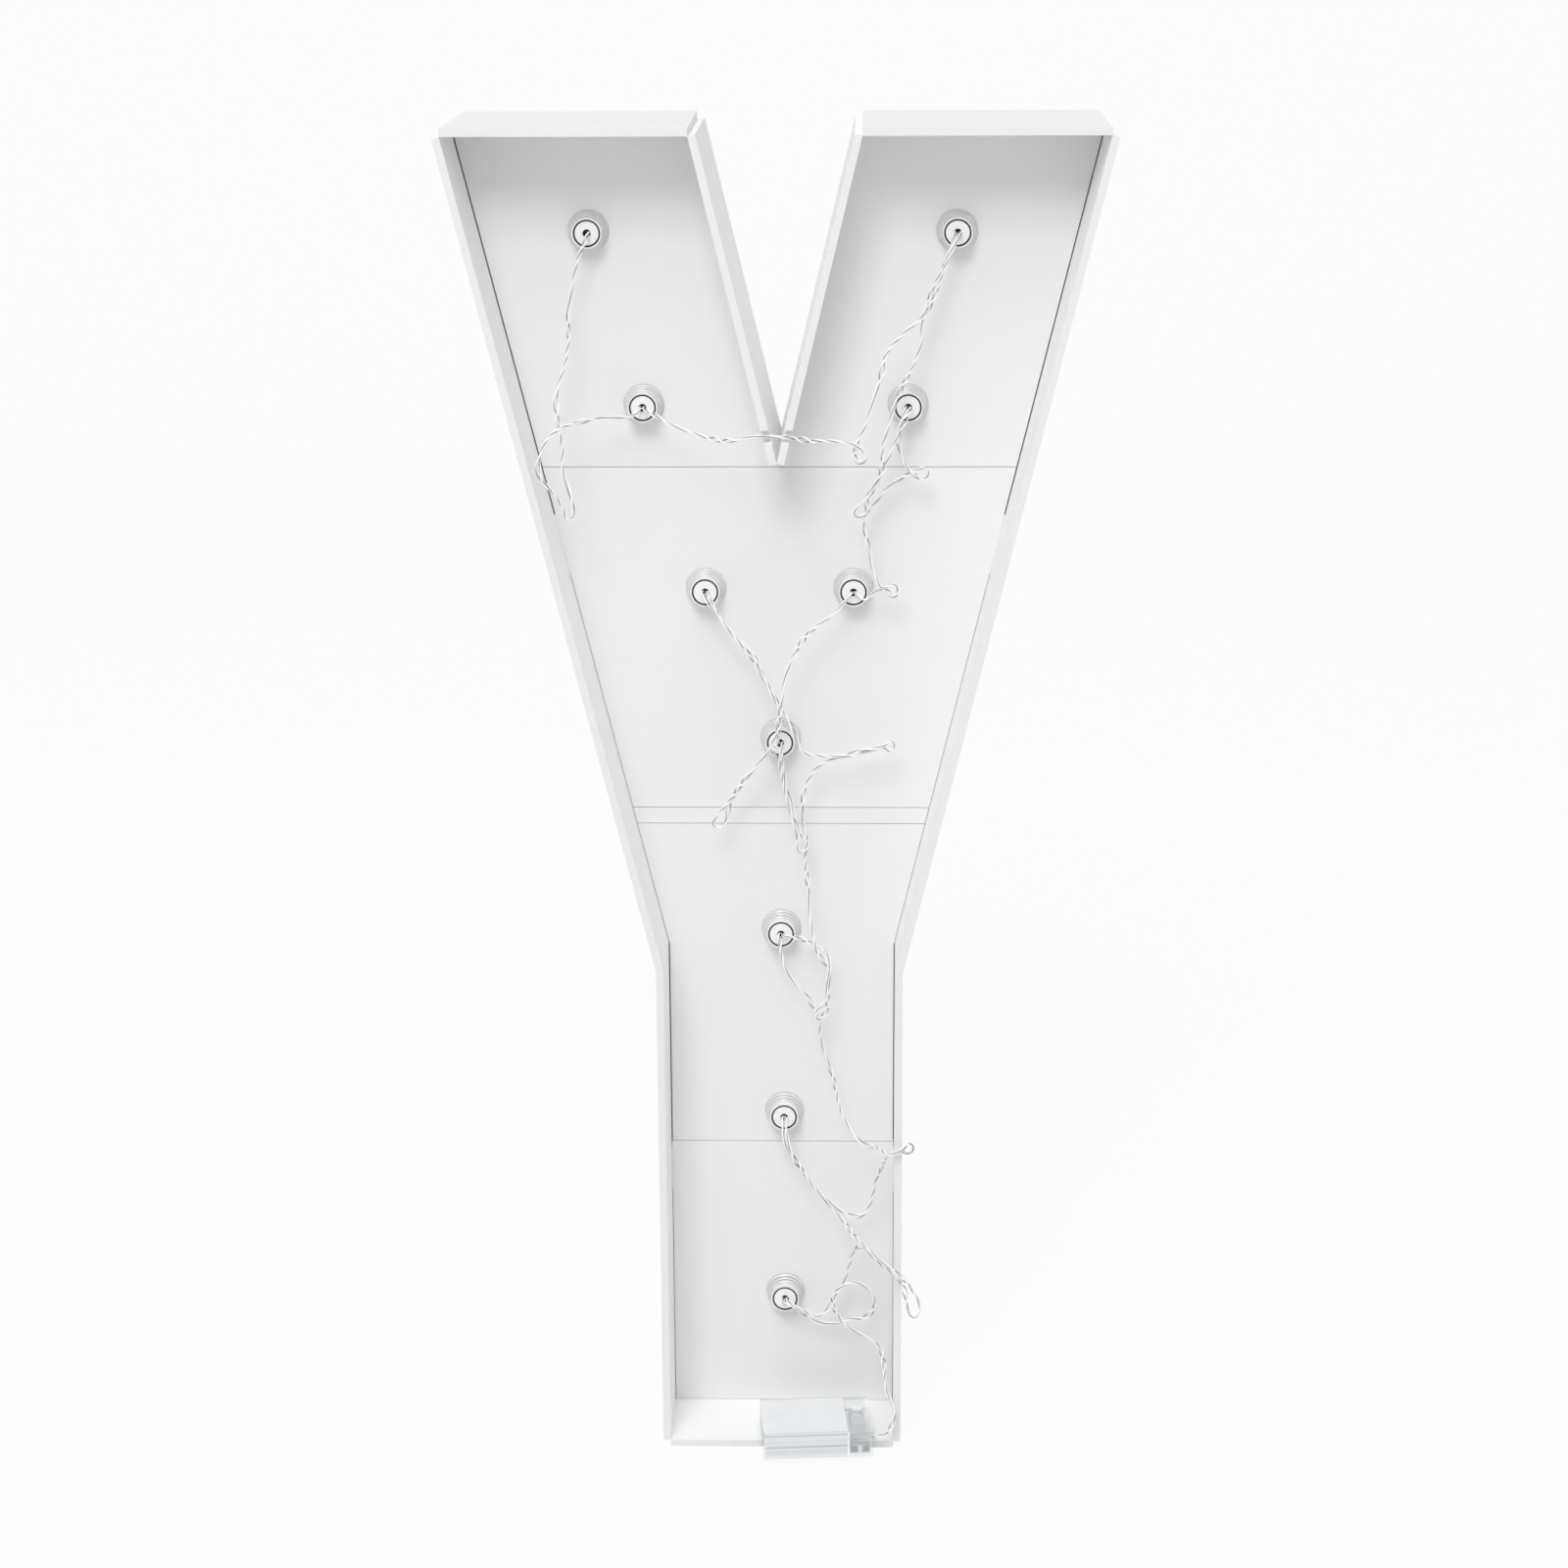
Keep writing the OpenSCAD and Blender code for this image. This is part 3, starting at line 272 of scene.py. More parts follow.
class BoardSettings(bpy.types.PropertyGroup):
    """Foam board of the panels and walls"""
    face_colour: bpy.props.FloatVectorProperty(
        name="Face colour", description="Skin of the face panels", default=(0.832, 0.832, 0.832), **COLOUR)
    # Painted light: the side, notch and bottom walls are the same board as the panels and top walls, made
    # lighter to make up for their shaded faces.
    wall_colour_with_painted_light: bpy.props.FloatVectorProperty(
        name="Wall colour with painted light", description="Skin of the side, notch and bottom walls, lighter than the panels and top walls as painted light",
        default=(0.95, 0.95, 0.95), **COLOUR)
    top_colour: bpy.props.FloatVectorProperty(
        name="Top colour", description="Skin of the top walls", default=(0.84, 0.84, 0.84), **COLOUR)
    rim_colour: bpy.props.FloatVectorProperty(
        name="Rim colour", description="Open foam along the walls' cut rims",
        default=(0.81, 0.81, 0.81), **COLOUR)
    # Painted shade: a dark tone for the shade in the open lines beside the panels.
    gap_shade_colour: bpy.props.FloatVectorProperty(
        name="Gap shade colour", description="Painted shade of the board in the open lines beside the panels",
        default=(0.09, 0.09, 0.095), **COLOUR)
    roughness: bpy.props.FloatProperty(
        name="Roughness", description="Roughness of the board's skin", default=0.5, **SHARE)


class WireSettings(bpy.types.PropertyGroup):
    """Twisted pairs of the light string"""
    strand: bpy.props.FloatProperty(
        name="Strand", description="Diameter of one strand", default=1.2 * MILLIMETRE, **LENGTH)
    pair: bpy.props.FloatProperty(
        name="Pair", description="Diameter of the twisted pair", default=2.4 * MILLIMETRE, **LENGTH)
    pitch: bpy.props.FloatProperty(
        name="Pitch", description="Length of one full turn of the twist", default=27 * MILLIMETRE, **LENGTH)
    eye: bpy.props.FloatProperty(
        name="Eye", description="How far the strands stand apart where the twist is loose",
        default=1.2 * MILLIMETRE, **LENGTH)
    colour: bpy.props.FloatVectorProperty(
        name="Colour", description="Jacket of the strands", default=(0.95, 0.95, 0.95), **COLOUR)
    # Painted shade: the jacket's darker tone where the strands face each other.
    groove_shade_colour: bpy.props.FloatVectorProperty(
        name="Groove shade colour", description="Painted shade in the groove between the strands",
        default=(0.3, 0.3, 0.31), **COLOUR)


class BulbSettings(bpy.types.PropertyGroup):
    """Bulb covers, plugs and lamps"""
    cover_colour: bpy.props.FloatVectorProperty(
        name="Cover colour", description="Milky plastic of the bulb covers",
        default=(0.9, 0.9, 0.9), **COLOUR)
    # Painted shade in the grooves between the necks' threads.
    thread_shade_colour: bpy.props.FloatVectorProperty(
        name="Thread shade colour", description="Painted shade in the grooves of the covers' threads",
        default=(0.5, 0.5, 0.505), **COLOUR)
    plug_colour: bpy.props.FloatVectorProperty(
        name="Plug colour", description="Plastic of the wire plugs", default=(0.9, 0.9, 0.9), **COLOUR)
    # Painted shade: the same dark material lines the plugs' wire holes; it also makes the black rings round
    # the plugs.
    ring_and_hole_shade_colour: bpy.props.FloatVectorProperty(
        name="Ring and hole shade colour", description="Black ring round the plugs, and painted shade in their wire holes",
        default=(0.015, 0.015, 0.016), **COLOUR)
    lamp_colour: bpy.props.FloatVectorProperty(
        name="Lamp colour", description="Lens of the small lamps", default=(0.93, 0.82, 0.5), **COLOUR)


class BoxSettings(bpy.types.PropertyGroup):
    """Battery box and what is in it"""
    tray_colour: bpy.props.FloatVectorProperty(
        name="Tray colour", description="Clear plastic of the tray", default=(0.95, 0.975, 0.985), **COLOUR)
    lid_colour: bpy.props.FloatVectorProperty(
        name="Lid colour", description="Frosted plastic of the lid", default=(0.95, 0.965, 0.98), **COLOUR)
    switch_colour: bpy.props.FloatVectorProperty(
        name="Switch colour", description="Plastic of the switch body", default=(0.47, 0.54, 0.57), **COLOUR)
    knob_colour: bpy.props.FloatVectorProperty(
        name="Knob colour", description="Plastic of the switch knob", default=(0.84, 0.87, 0.885), **COLOUR)
    side_cover: bpy.props.FloatProperty(
        name="Side cover", description="How much the sides of the cell bay hide what is behind them",
        default=0.7, **SHARE)
    chamber_cover: bpy.props.FloatProperty(
        name="Chamber cover", description="How much the sides of the switch chamber hide what is behind them",
        default=0.22, **SHARE)
    deck_cover: bpy.props.FloatProperty(
        name="Deck cover", description="How much the tray's floor and deck hide what is behind them",
        default=0.28, **SHARE)
    # Painted shade: dark lines on the tray's sides under the lip and over the lower rail.
    line_shade_colour: bpy.props.FloatVectorProperty(
        name="Line shade colour", description="Painted shade lines under the tray's lip and over its rails",
        default=(0.5, 0.54, 0.56), **COLOUR)
    foot_colour: bpy.props.FloatVectorProperty(
        name="Foot colour", description="Thick plastic along the foot of the tray's sides",
        default=(0.8, 0.85, 0.865), **COLOUR)
    divider_colour: bpy.props.FloatVectorProperty(
        name="Divider colour", description="Edge of the wall between cell bay and switch",
        default=(0.94, 0.955, 0.965), **COLOUR)
    # Partly painted shade: the dark board also stands for the shade in the lower part of the switch chamber.
    board_and_chamber_shade_colour: bpy.props.FloatVectorProperty(
        name="Board and chamber shade colour", description="Dark circuit board in the switch chamber, also standing for the shade there",
        default=(0.2, 0.2, 0.21), **COLOUR)
    post_colour: bpy.props.FloatVectorProperty(
        name="Post colour", description="Post that holds the circuit board",
        default=(0.92, 0.93, 0.94), **COLOUR)


class StageSettings(bpy.types.PropertyGroup):
    """Camera, lamps and floor"""
    lens: bpy.props.FloatProperty(
        name="Lens", description="Focal length in millimetres", min=1, default=75.03)
    camera_place: bpy.props.FloatVectorProperty(
        name="Camera place", description="Where the camera stands",
        default=(0.05617, -2.14127, 1.09578), **PLACE)
    camera_aim: bpy.props.FloatVectorProperty(
        name="Camera aim", description="Direction that the camera looks in", subtype="DIRECTION", size=3,
        default=(-0.02421, 0.95925, -0.28152))
    camera_roll: bpy.props.FloatProperty(
        name="Camera roll", description="Turn of the camera about its aim", subtype="ANGLE", default=-0.005)
    key_power: bpy.props.FloatProperty(
        name="Key", description="Power of the key lamp in watts", min=0, default=258)
    key_place: bpy.props.FloatVectorProperty(
        name="Key place", description="Where the key lamp stands", default=(-1.0, -5.9, 6.0), **PLACE)
    key_size: bpy.props.FloatProperty(
        name="Key size", description="Side of the key lamp", default=3.0, **LENGTH)
    top_power: bpy.props.FloatProperty(
        name="Top", description="Power of the top lamp in watts", min=0, default=31)
    top_place: bpy.props.FloatVectorProperty(
        name="Top place", description="Where the top lamp stands", default=(-0.2, -1.25, 4.2), **PLACE)
    top_size: bpy.props.FloatProperty(
        name="Top size", description="Side of the top lamp", default=1.8, **LENGTH)
    world_level: bpy.props.FloatProperty(
        name="World", description="Level of the even light all round", min=0, default=0.56)
    floor_white: bpy.props.FloatProperty(
        name="Floor white", description="Share of plain white in the floor that the camera sees",
        default=0.93, **SHARE)
    floor_colour: bpy.props.FloatVectorProperty(
        name="Floor colour", description="Pale floor and backdrop", default=(0.85, 0.85, 0.85), **COLOUR)


# Shader helpers


def add_node(tree, kind, **values):
    """A node of a shader tree with its settings and unlinked input values."""
    node = tree.nodes.new(kind)
    for key, value in values.items():
        if hasattr(node, key):
            setattr(node, key, value)
        else:
            node.inputs[key.replace("_", " ")].default_value = value
    return node


def link(tree, source, output, target, socket):
    """Joins one node's output to another node's input."""
    tree.links.new(source.outputs[output], target.inputs[socket])


def solve(tree, operation, *values):
    """The result of a math node whose inputs are other results or plain values."""
    node = add_node(tree, "ShaderNodeMath", operation=operation)
    for socket, value in zip(node.inputs, values):
        if isinstance(value, bpy.types.NodeSocket):
            tree.links.new(value, socket)
        else:
            socket.default_value = value
    return node.outputs[0]


def spot_axes(tree):
    """The place of each point of a piece, axis by axis."""
    place = add_node(tree, "ShaderNodeTexCoord")
    axes = add_node(tree, "ShaderNodeSeparateXYZ")
    link(tree, place, "Object", axes, "Vector")
    return axes.outputs


def mix_shaders(tree, share, first, second, output):
    """Shows two shaders mixed by a share."""
    mix = add_node(tree, "ShaderNodeMixShader")
    for socket, source in zip(mix.inputs, (share, first.outputs[0], second.outputs[0])):
        tree.links.new(source, socket)
    tree.links.new(mix.outputs[0], tree.nodes[output].inputs["Surface"])


def new_group(name, inputs, outputs):
    """An empty shader node group with float or colour sockets."""
    group = bpy.data.node_groups.new(name, "ShaderNodeTree")
    for label, kind, value in inputs:
        socket = group.interface.new_socket(label, in_out="INPUT", socket_type=kind)
        if value is not None:
            socket.default_value = value
    for label, kind in outputs:
        group.interface.new_socket(label, in_out="OUTPUT", socket_type=kind)
    return group, add_node(group, "NodeGroupInput"), add_node(group, "NodeGroupOutput")


def mottle_group():
    """Uneven tone: a colour darkened by soft clouds, and a fine grain height."""
    name = "uneven_tone"
    if name in bpy.data.node_groups:
        return bpy.data.node_groups[name]
    group, start, end = new_group(name, [
        ("Colour", "NodeSocketColor", None), ("Dark", "NodeSocketColor", None),
        ("Cloud scale", "NodeSocketFloat", 9.0), ("Grain scale", "NodeSocketFloat", 900.0),
        ("Amount", "NodeSocketFloat", 0.5),
    ], [("Colour", "NodeSocketColor"), ("Grain", "NodeSocketFloat")])
    place = add_node(group, "ShaderNodeTexCoord")
    cloud = add_node(group, "ShaderNodeTexNoise", Detail=3.0, Roughness=0.55)
    grain = add_node(group, "ShaderNodeTexNoise", Detail=4.0, Roughness=0.6)
    spread = add_node(group, "ShaderNodeMapRange", From_Min=0.35, From_Max=0.7)
    mix = add_node(group, "ShaderNodeMix", data_type="RGBA")
    link(group, place, "Object", cloud, "Vector")
    link(group, place, "Object", grain, "Vector")
    link(group, start, "Cloud scale", cloud, "Scale")
    link(group, start, "Grain scale", grain, "Scale")
    link(group, cloud, "Fac", spread, "Value")
    share = solve(group, "MULTIPLY", spread.outputs["Result"], start.outputs["Amount"])
    group.links.new(share, mix.inputs[MIX_SHARE])
    link(group, start, "Colour", mix, COLOUR_FIRST)
    link(group, start, "Dark", mix, COLOUR_SECOND)
    link(group, mix, COLOUR_RESULT, end, "Colour")
    link(group, grain, "Fac", end, "Grain")
    return group


def new_material(name):
    """A material with its Principled shader ready to be set."""
    material = bpy.data.materials.new(name)
    material.use_nodes = True
    return material, material.node_tree, material.node_tree.nodes["Principled BSDF"]


def finish(name, colour, dark, cloud, grain, amount, rough, vary, bump, **sockets):
    """A material of plastic, metal or board: uneven tone, uneven gloss and a fine grain in millimetres."""
    material, tree, shader = new_material(name)
    tone = add_node(tree, "ShaderNodeGroup", node_tree=mottle_group())
    tone.inputs["Colour"].default_value = (*colour, 1)
    tone.inputs["Dark"].default_value = (*dark, 1)
    tone.inputs["Cloud scale"].default_value = cloud
    tone.inputs["Grain scale"].default_value = grain
    tone.inputs["Amount"].default_value = amount
    gloss = add_node(tree, "ShaderNodeMapRange", To_Min=rough - vary, To_Max=rough + vary)
    relief = add_node(tree, "ShaderNodeBump", Strength=1.0, Distance=bump * MILLIMETRE)
    link(tree, tone, "Colour", shader, "Base Color")
    link(tree, tone, "Grain", gloss, "Value")
    link(tree, gloss, "Result", shader, "Roughness")
    link(tree, tone, "Grain", relief, "Height")
    link(tree, relief, "Normal", shader, "Normal")
    for label, value in sockets.items():
        shader.inputs[label.replace("_", " ")].default_value = value
    return material


def facing_group():
    """Where a piece faces sideways, to its rims or level, and the floors of the open lines beside a panel."""
    name = "board_facing"
    if name in bpy.data.node_groups:
        return bpy.data.node_groups[name]
    group, start, end = new_group(name, [
        ("Turn", "NodeSocketFloat", 0.5), ("Line depth", "NodeSocketFloat", 0.0),
    ], [("Side", "NodeSocketFloat"), ("Rim", "NodeSocketFloat"), ("Level", "NodeSocketFloat"),
        ("Line floor", "NodeSocketFloat")])
    turn = start.outputs["Turn"]
    place = add_node(group, "ShaderNodeTexCoord")
    facing = add_node(group, "ShaderNodeSeparateXYZ")
    link(group, place, "Normal", facing, "Vector")
    for axis, label in (("X", "Side"), ("Y", "Rim"), ("Z", "Level")):
        size = solve(group, "ABSOLUTE", facing.outputs[axis])
        group.links.new(solve(group, "GREATER_THAN", size, turn), end.inputs[label])
    backward = solve(group, "MULTIPLY", facing.outputs["Y"], -1)
    turned = solve(group, "GREATER_THAN", backward, turn)
    deep = solve(group, "GREATER_THAN", spot_axes(group)["Y"], start.outputs["Line depth"])
    group.links.new(solve(group, "MULTIPLY", turned, deep), end.inputs["Line floor"])
    return group


def take_over(material, mask, colour):
    """Lets another colour show on a material where a mask is one."""
    tree = material.node_tree
    base = tree.nodes["Principled BSDF"].inputs["Base Color"]
    mix = add_node(tree, "ShaderNodeMix", data_type="RGBA")
    mix.inputs[COLOUR_SECOND].default_value = (*colour, 1)
    tree.links.new(mask, mix.inputs[MIX_SHARE])
    tree.links.new(base.links[0].from_socket, mix.inputs[COLOUR_FIRST])
    tree.links.new(mix.outputs[COLOUR_RESULT], base)


def raise_over(material, mask, height):
    """Lets another height stand on a material where a mask is one."""
    tree = material.node_tree
    grain = tree.nodes["Bump"].inputs["Height"]
    mix = add_node(tree, "ShaderNodeMix", data_type="FLOAT")
    tree.links.new(mask, mix.inputs[MIX_SHARE])
    tree.links.new(grain.links[0].from_socket, mix.inputs[VALUE_FIRST])
    tree.links.new(height, mix.inputs[VALUE_SECOND])
    tree.links.new(mix.outputs[VALUE_RESULT], grain)


def darker(colour, share):
    """A colour at a share of its brightness."""
    return tuple(share * part for part in colour)


def dress(node_names, material):
    """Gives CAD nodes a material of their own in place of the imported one."""
    for name in node_names:
        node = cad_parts[name]
        node.data.materials.clear()
        node.data.materials.append(material)


# Wire routes


def plug_seat(bulb, side):
    """Bottom of a plug's wire hole, to one side of its middle."""
    low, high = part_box(f"wire_plug_{bulb}")
    middle = (low + high) / 2
    return Vector((middle.x + side * SEAT_SIDE, low.y + SEAT_DEPTH, middle.z))


def plug_end(bulb, side, lead):
    """The two points at a wire's end in a plug: just behind the plug, and its seat."""
    seat = plug_seat(bulb, side)
    return [seat - Vector((0, lead, 0)), seat]


def box_place(point):
    """A point of the battery box in the letter's frame."""
    return BOX_MIDDLE + Matrix.Rotation(BOX_TURN, 3, "Z") @ point


def wire_route(start, free, end, tails=()):
    """All points of one wire in metres, with its doubled-back tails drawn together."""
    points = [Vector(point) for point in free]
    for tip, pairs in tails:
        for i in range(LOOP_PAIRS, pairs):
            out, back = tip - i, tip + 1 + i
            middle = (points[out] + points[back]) / 2
            apart = points[back] - points[out]
            side = Vector((apart.x, 0, apart.z)).normalized() * TAIL_GAP / 2 - Vector((0, TAIL_DEPTH / 2, 0))
            points[out] = middle - side
            points[back] = middle + side
    return start + [point * MILLIMETRE for point in points] + end


def wire_routes():
    """Each wire's CAD node and its route."""
    routes = [("wire_box_to_bulb_10", wire_route(
        [box_place(OUTLET), box_place(OUTLET_LEAD)], BOX_TO_10, plug_end(10, RIGHT, SHORT_LEAD)))]
    stretches = [
        (10, LEFT, LONG_LEAD, FROM_10_TO_9, [], 9, LEFT),
        (9, RIGHT, SHORT_LEAD, FROM_9_TO_8, TAILS_9_TO_8, 8, LEFT),
        (8, RIGHT, SHORT_LEAD, FROM_8_TO_5, TAILS_8_TO_5, 5, RIGHT),
        (5, LEFT, SHORT_LEAD, FROM_5_TO_7, [], 7, LEFT),
        (7, RIGHT, SHORT_LEAD, FROM_7_TO_6, TAILS_7_TO_6, 6, LEFT),
        (6, RIGHT, SHORT_LEAD, FROM_6_TO_4, TAILS_6_TO_4, 4, LEFT),
        (4, RIGHT, LONG_LEAD, FROM_4_TO_2, TAILS_4_TO_2, 2, LEFT),
        (2, RIGHT, LONG_LEAD, FROM_2_TO_3, [], 3, RIGHT),
        (3, LEFT, SHORT_LEAD, FROM_3_TO_1, [], 1, RIGHT)]
    for first, first_side, lead, free, tails, last, last_side in stretches:
        start = plug_end(first, first_side, lead)[::-1]
        end = plug_end(last, last_side, SHORT_LEAD)
        routes.append((f"wire_bulb_{first}_to_{last}", wire_route(start, free, end, tails)))
    return routes


def smooth_line(points):
    """A smooth line through a route's points, straight at both ends."""
    line = [points[0]]
    for i in range(1, len(points) - 2):
        a, b, c, d = points[i - 1:i + 3]
        for k in range(SMOOTH_STEPS):
            t = k / SMOOTH_STEPS
            line.append(0.5 * (2 * b + (c - a) * t + (2 * a - 5 * b + 4 * c - d) * t ** 2
                               + (3 * b - a - 3 * c + d) * t ** 3))
    return line + points[-2:]


def even_line(line):
    """The same line with evenly spaced points, and its length."""
    lengths = [0.0]
    for a, b in zip(line, line[1:]):
        lengths.append(lengths[-1] + (b - a).length)
    count = math.ceil(lengths[-1] / LINE_STEP)
    even, i = [], 0
    for k in range(count + 1):
        along = lengths[-1] * k / count
        while i < len(line) - 2 and lengths[i + 1] < along:
            i += 1
        share = (along - lengths[i]) / (lengths[i + 1] - lengths[i])
        even.append(line[i].lerp(line[i + 1], min(share, 1)))
    return even, lengths[-1]


def side_vectors(line):
    """A sideways vector at each point, carried along the line without twist, and the heading there."""
    sides, headings = [], []
    side = FIRST_SIDE
    for i in range(len(line)):
        heading = (line[min(i + 1, len(line) - 1)] - line[max(i - 1, 0)]).normalized()
        side = (side - side.dot(heading) * heading).normalized()
        sides.append(side)
        headings.append(heading)
    return sides, headings


def strand_lines(line, length, settings, phase):
    """The two strands' lines round the pair's middle line, touching at the ends and loose in places."""
    sides, headings = side_vectors(line)
    strands = [[], []]
    for i, point in enumerate(line):
        along = length * i / (len(line) - 1)
        turn = 2 * math.pi * along / settings.pitch
        ends = min(1, min(along, length - along) / settings.pitch)
        loose = max(0, math.sin(turn / EYE_TURNS + phase)) ** 2
        reach = settings.strand / 2 + ends * loose * settings.eye
        wander = WANDER_SWING * math.sin(turn / WANDER_TURNS + 2 * phase)
        drift = DRIFT_SWING * math.sin(turn / DRIFT_TURNS + 3 * phase)
        angle = turn + phase + wander + drift
        across = headings[i].cross(sides[i])
        offset = reach * (math.cos(angle) * sides[i] + math.sin(angle) * across)
        strands[0].append(point + offset)
        strands[1].append(point - offset)
    return strands


# Meshes and pieces


def tube_mesh(name, lines, radius):
    """A mesh of round tubes with closed ends along several lines."""
    curve = bpy.data.curves.new(name, "CURVE")
    curve.dimensions = "3D"
    curve.bevel_depth = radius
    curve.bevel_resolution = STRAND_ROUNDING
    for line in lines:
        spline = curve.splines.new("POLY")
        spline.points.add(len(line) - 1)
        for point, place in zip(spline.points, line):
            point.co = (*place, 1)
    maker = bpy.data.objects.new(name, curve)
    mesh = bpy.data.meshes.new_from_object(maker)
    bpy.data.objects.remove(maker)
    bpy.data.curves.remove(curve)
    shape = bmesh.new()
    shape.from_mesh(mesh)
    bmesh.ops.holes_fill(shape, edges=[edge for edge in shape.edges if edge.is_boundary], sides=0)
    write_mesh(shape, mesh)
    mesh.name = name
    smooth_faces(mesh)
    return mesh


def write_mesh(shape, mesh):
    """Turns a finished shape's faces outward and writes it to a mesh."""
    bmesh.ops.recalc_face_normals(shape, faces=shape.faces)
    shape.to_mesh(mesh)
    shape.free()


def smooth_faces(mesh):
    """Shades all faces of a mesh smoothly."""
    mesh.polygons.foreach_set("use_smooth", [True] * len(mesh.polygons))


def mark_groove_shade(mesh, strands):
    """Marks how far each point of two strands faces the other strand, from 0 outside to 1 in the groove, for
    the painted shade there.
    """
    count = len(strands[0])
    if len(mesh.vertices) != 2 * count * RING_POINTS:
        raise RuntimeError("the strands' rings don't have the expected number of points")
    groove = mesh.attributes.new("groove", "FLOAT", "POINT")
    for vertex in mesh.vertices:
        strand, place = divmod(vertex.index // RING_POINTS, count)
        own, other = strands[strand][place], strands[1 - strand][place]
        inward = (vertex.co - own).normalized().dot((other - own).normalized())
        groove.data[vertex.index].value = min(max(inward / GROOVE_SHADE_FULL, 0), 1)


def add_piece(name, mesh, material):
    """A finished piece in the scene, riding on the letter."""
    piece = bpy.data.objects.new(name, mesh)
    bpy.context.scene.collection.objects.link(piece)
    mesh.materials.clear()
    mesh.materials.append(material)
    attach(piece, ROOT_BODY)
    return piece


# Operators


class LETTER_OT_stage(bpy.types.Operator):
    """Set up the camera, the lamps and a pale floor that sweeps up behind the letter"""
    bl_idname = "letter.stage"
    bl_label = "Stage"

    def execute(self, context):
        settings = context.scene.letter_stage
        self.add_camera(context.scene, settings)
        self.add_world(context.scene, settings)
        self.add_lamp(context.scene, "key", settings.key_power, settings.key_place, settings.key_size)
        self.add_lamp(context.scene, "top", settings.top_power, settings.top_place, settings.top_size)
        self.add_floor(context.scene, settings)
        context.scene.view_settings.view_transform = "Standard"
        return {"FINISHED"}

    def add_camera(self, scene, settings):
        """The camera that looks into the letter's open back."""
        camera = bpy.data.objects.new("camera", bpy.data.cameras.new("camera"))
        camera.data.lens = settings.lens
        camera.data.sensor_width = FILM_WIDTH
        camera.data.clip_end = FAR_CLIP
        scene.collection.objects.link(camera)
        aim = Vector(settings.camera_aim).normalized()
        right = aim.cross(Vector((0, 0, 1))).normalized()
        right = Matrix.Rotation(-settings.camera_roll, 3, aim) @ right
        up = right.cross(aim)
        turn = Matrix((right, up, -aim)).transposed()
        camera.matrix_world = Matrix.Translation(settings.camera_place) @ turn.to_4x4()
        scene.camera = camera

    def add_world(self, scene, settings):
        """Even light all round, and plain white where it is seen."""
        world = bpy.data.worlds.new("studio")
        world.use_nodes = True
        tree = world.node_tree
        plain = tree.nodes["Background"]
        plain.inputs["Color"].default_value = WHITE
        plain.inputs["Strength"].default_value = settings.world_level
        seen = add_node(tree, "ShaderNodeBackground", Color=WHITE, Strength=1.0)
        mix_shaders(tree, self.seen_rays(tree), plain, seen, "World Output")
        scene.world = world

    def seen_rays(self, tree):
        """One where a ray comes from the camera, a reflection or a clear piece."""
        path = add_node(tree, "ShaderNodeLightPath").outputs
        direct = solve(tree, "MAXIMUM", path["Is Camera Ray"], path["Is Glossy Ray"])
        return solve(tree, "MAXIMUM", direct, path["Is Transmission Ray"])

    def add_lamp(self, scene, name, power, place, size):
        """A soft square lamp that shines at the letter's middle."""
        lamp = bpy.data.lights.new(name, "AREA")
        lamp.energy = power
        lamp.size = size
        holder = bpy.data.objects.new(name, lamp)
        scene.collection.objects.link(holder)
        place = Vector(place)
        aim = (cad_low + cad_high) / 2 - place
        holder.matrix_world = Matrix.Translation(place) @ aim.to_track_quat("-Z", "Y").to_matrix().to_4x4()

    def add_floor(self, scene, settings):
        """The floor, drawn along its left side and pulled across to the right."""
        shape = bmesh.new()
        profile = [(FLOOR_FRONT, 0), (FLOOR_BACK, 0)]
        for step in range(1, SWEEP_STEPS + 1):
            angle = math.pi / 2 * step / SWEEP_STEPS
            profile.append((FLOOR_BACK + FLOOR_SWEEP * math.sin(angle), FLOOR_SWEEP * (1 - math.cos(angle))))
        profile.append((FLOOR_BACK + FLOOR_SWEEP, FLOOR_TOP))
        corners = [shape.verts.new((-FLOOR_HALF_WIDTH, depth, height)) for depth, height in profile]
        edges = [shape.edges.new(pair) for pair in zip(corners, corners[1:])]
        made = bmesh.ops.extrude_edge_only(shape, edges=edges)
        moved = [part for part in made["geom"] if isinstance(part, bmesh.types.BMVert)]
        bmesh.ops.translate(shape, verts=moved, vec=(2 * FLOOR_HALF_WIDTH, 0, 0))
        mesh = bpy.data.meshes.new("floor")
        write_mesh(shape, mesh)
        smooth_faces(mesh)
        floor = bpy.data.objects.new("floor", mesh)
        scene.collection.objects.link(floor)
        mesh.materials.append(self.floor_material(settings))

    def floor_material(self, settings):
        """Pale floor that shows mostly plain white where it is seen."""
        material, tree, shader = new_material("pale_floor")
        shader.inputs["Base Color"].default_value = (*settings.floor_colour, 1)
        shader.inputs["Roughness"].default_value = FLOOR_ROUGHNESS
        shader.inputs["Specular IOR Level"].default_value = 0.0
        glow = add_node(tree, "ShaderNodeEmission", Color=WHITE, Strength=1.0)
        share = solve(tree, "MULTIPLY", self.seen_rays(tree), settings.floor_white)
        mix_shaders(tree, share, shader, glow, "Material Output")
        return material


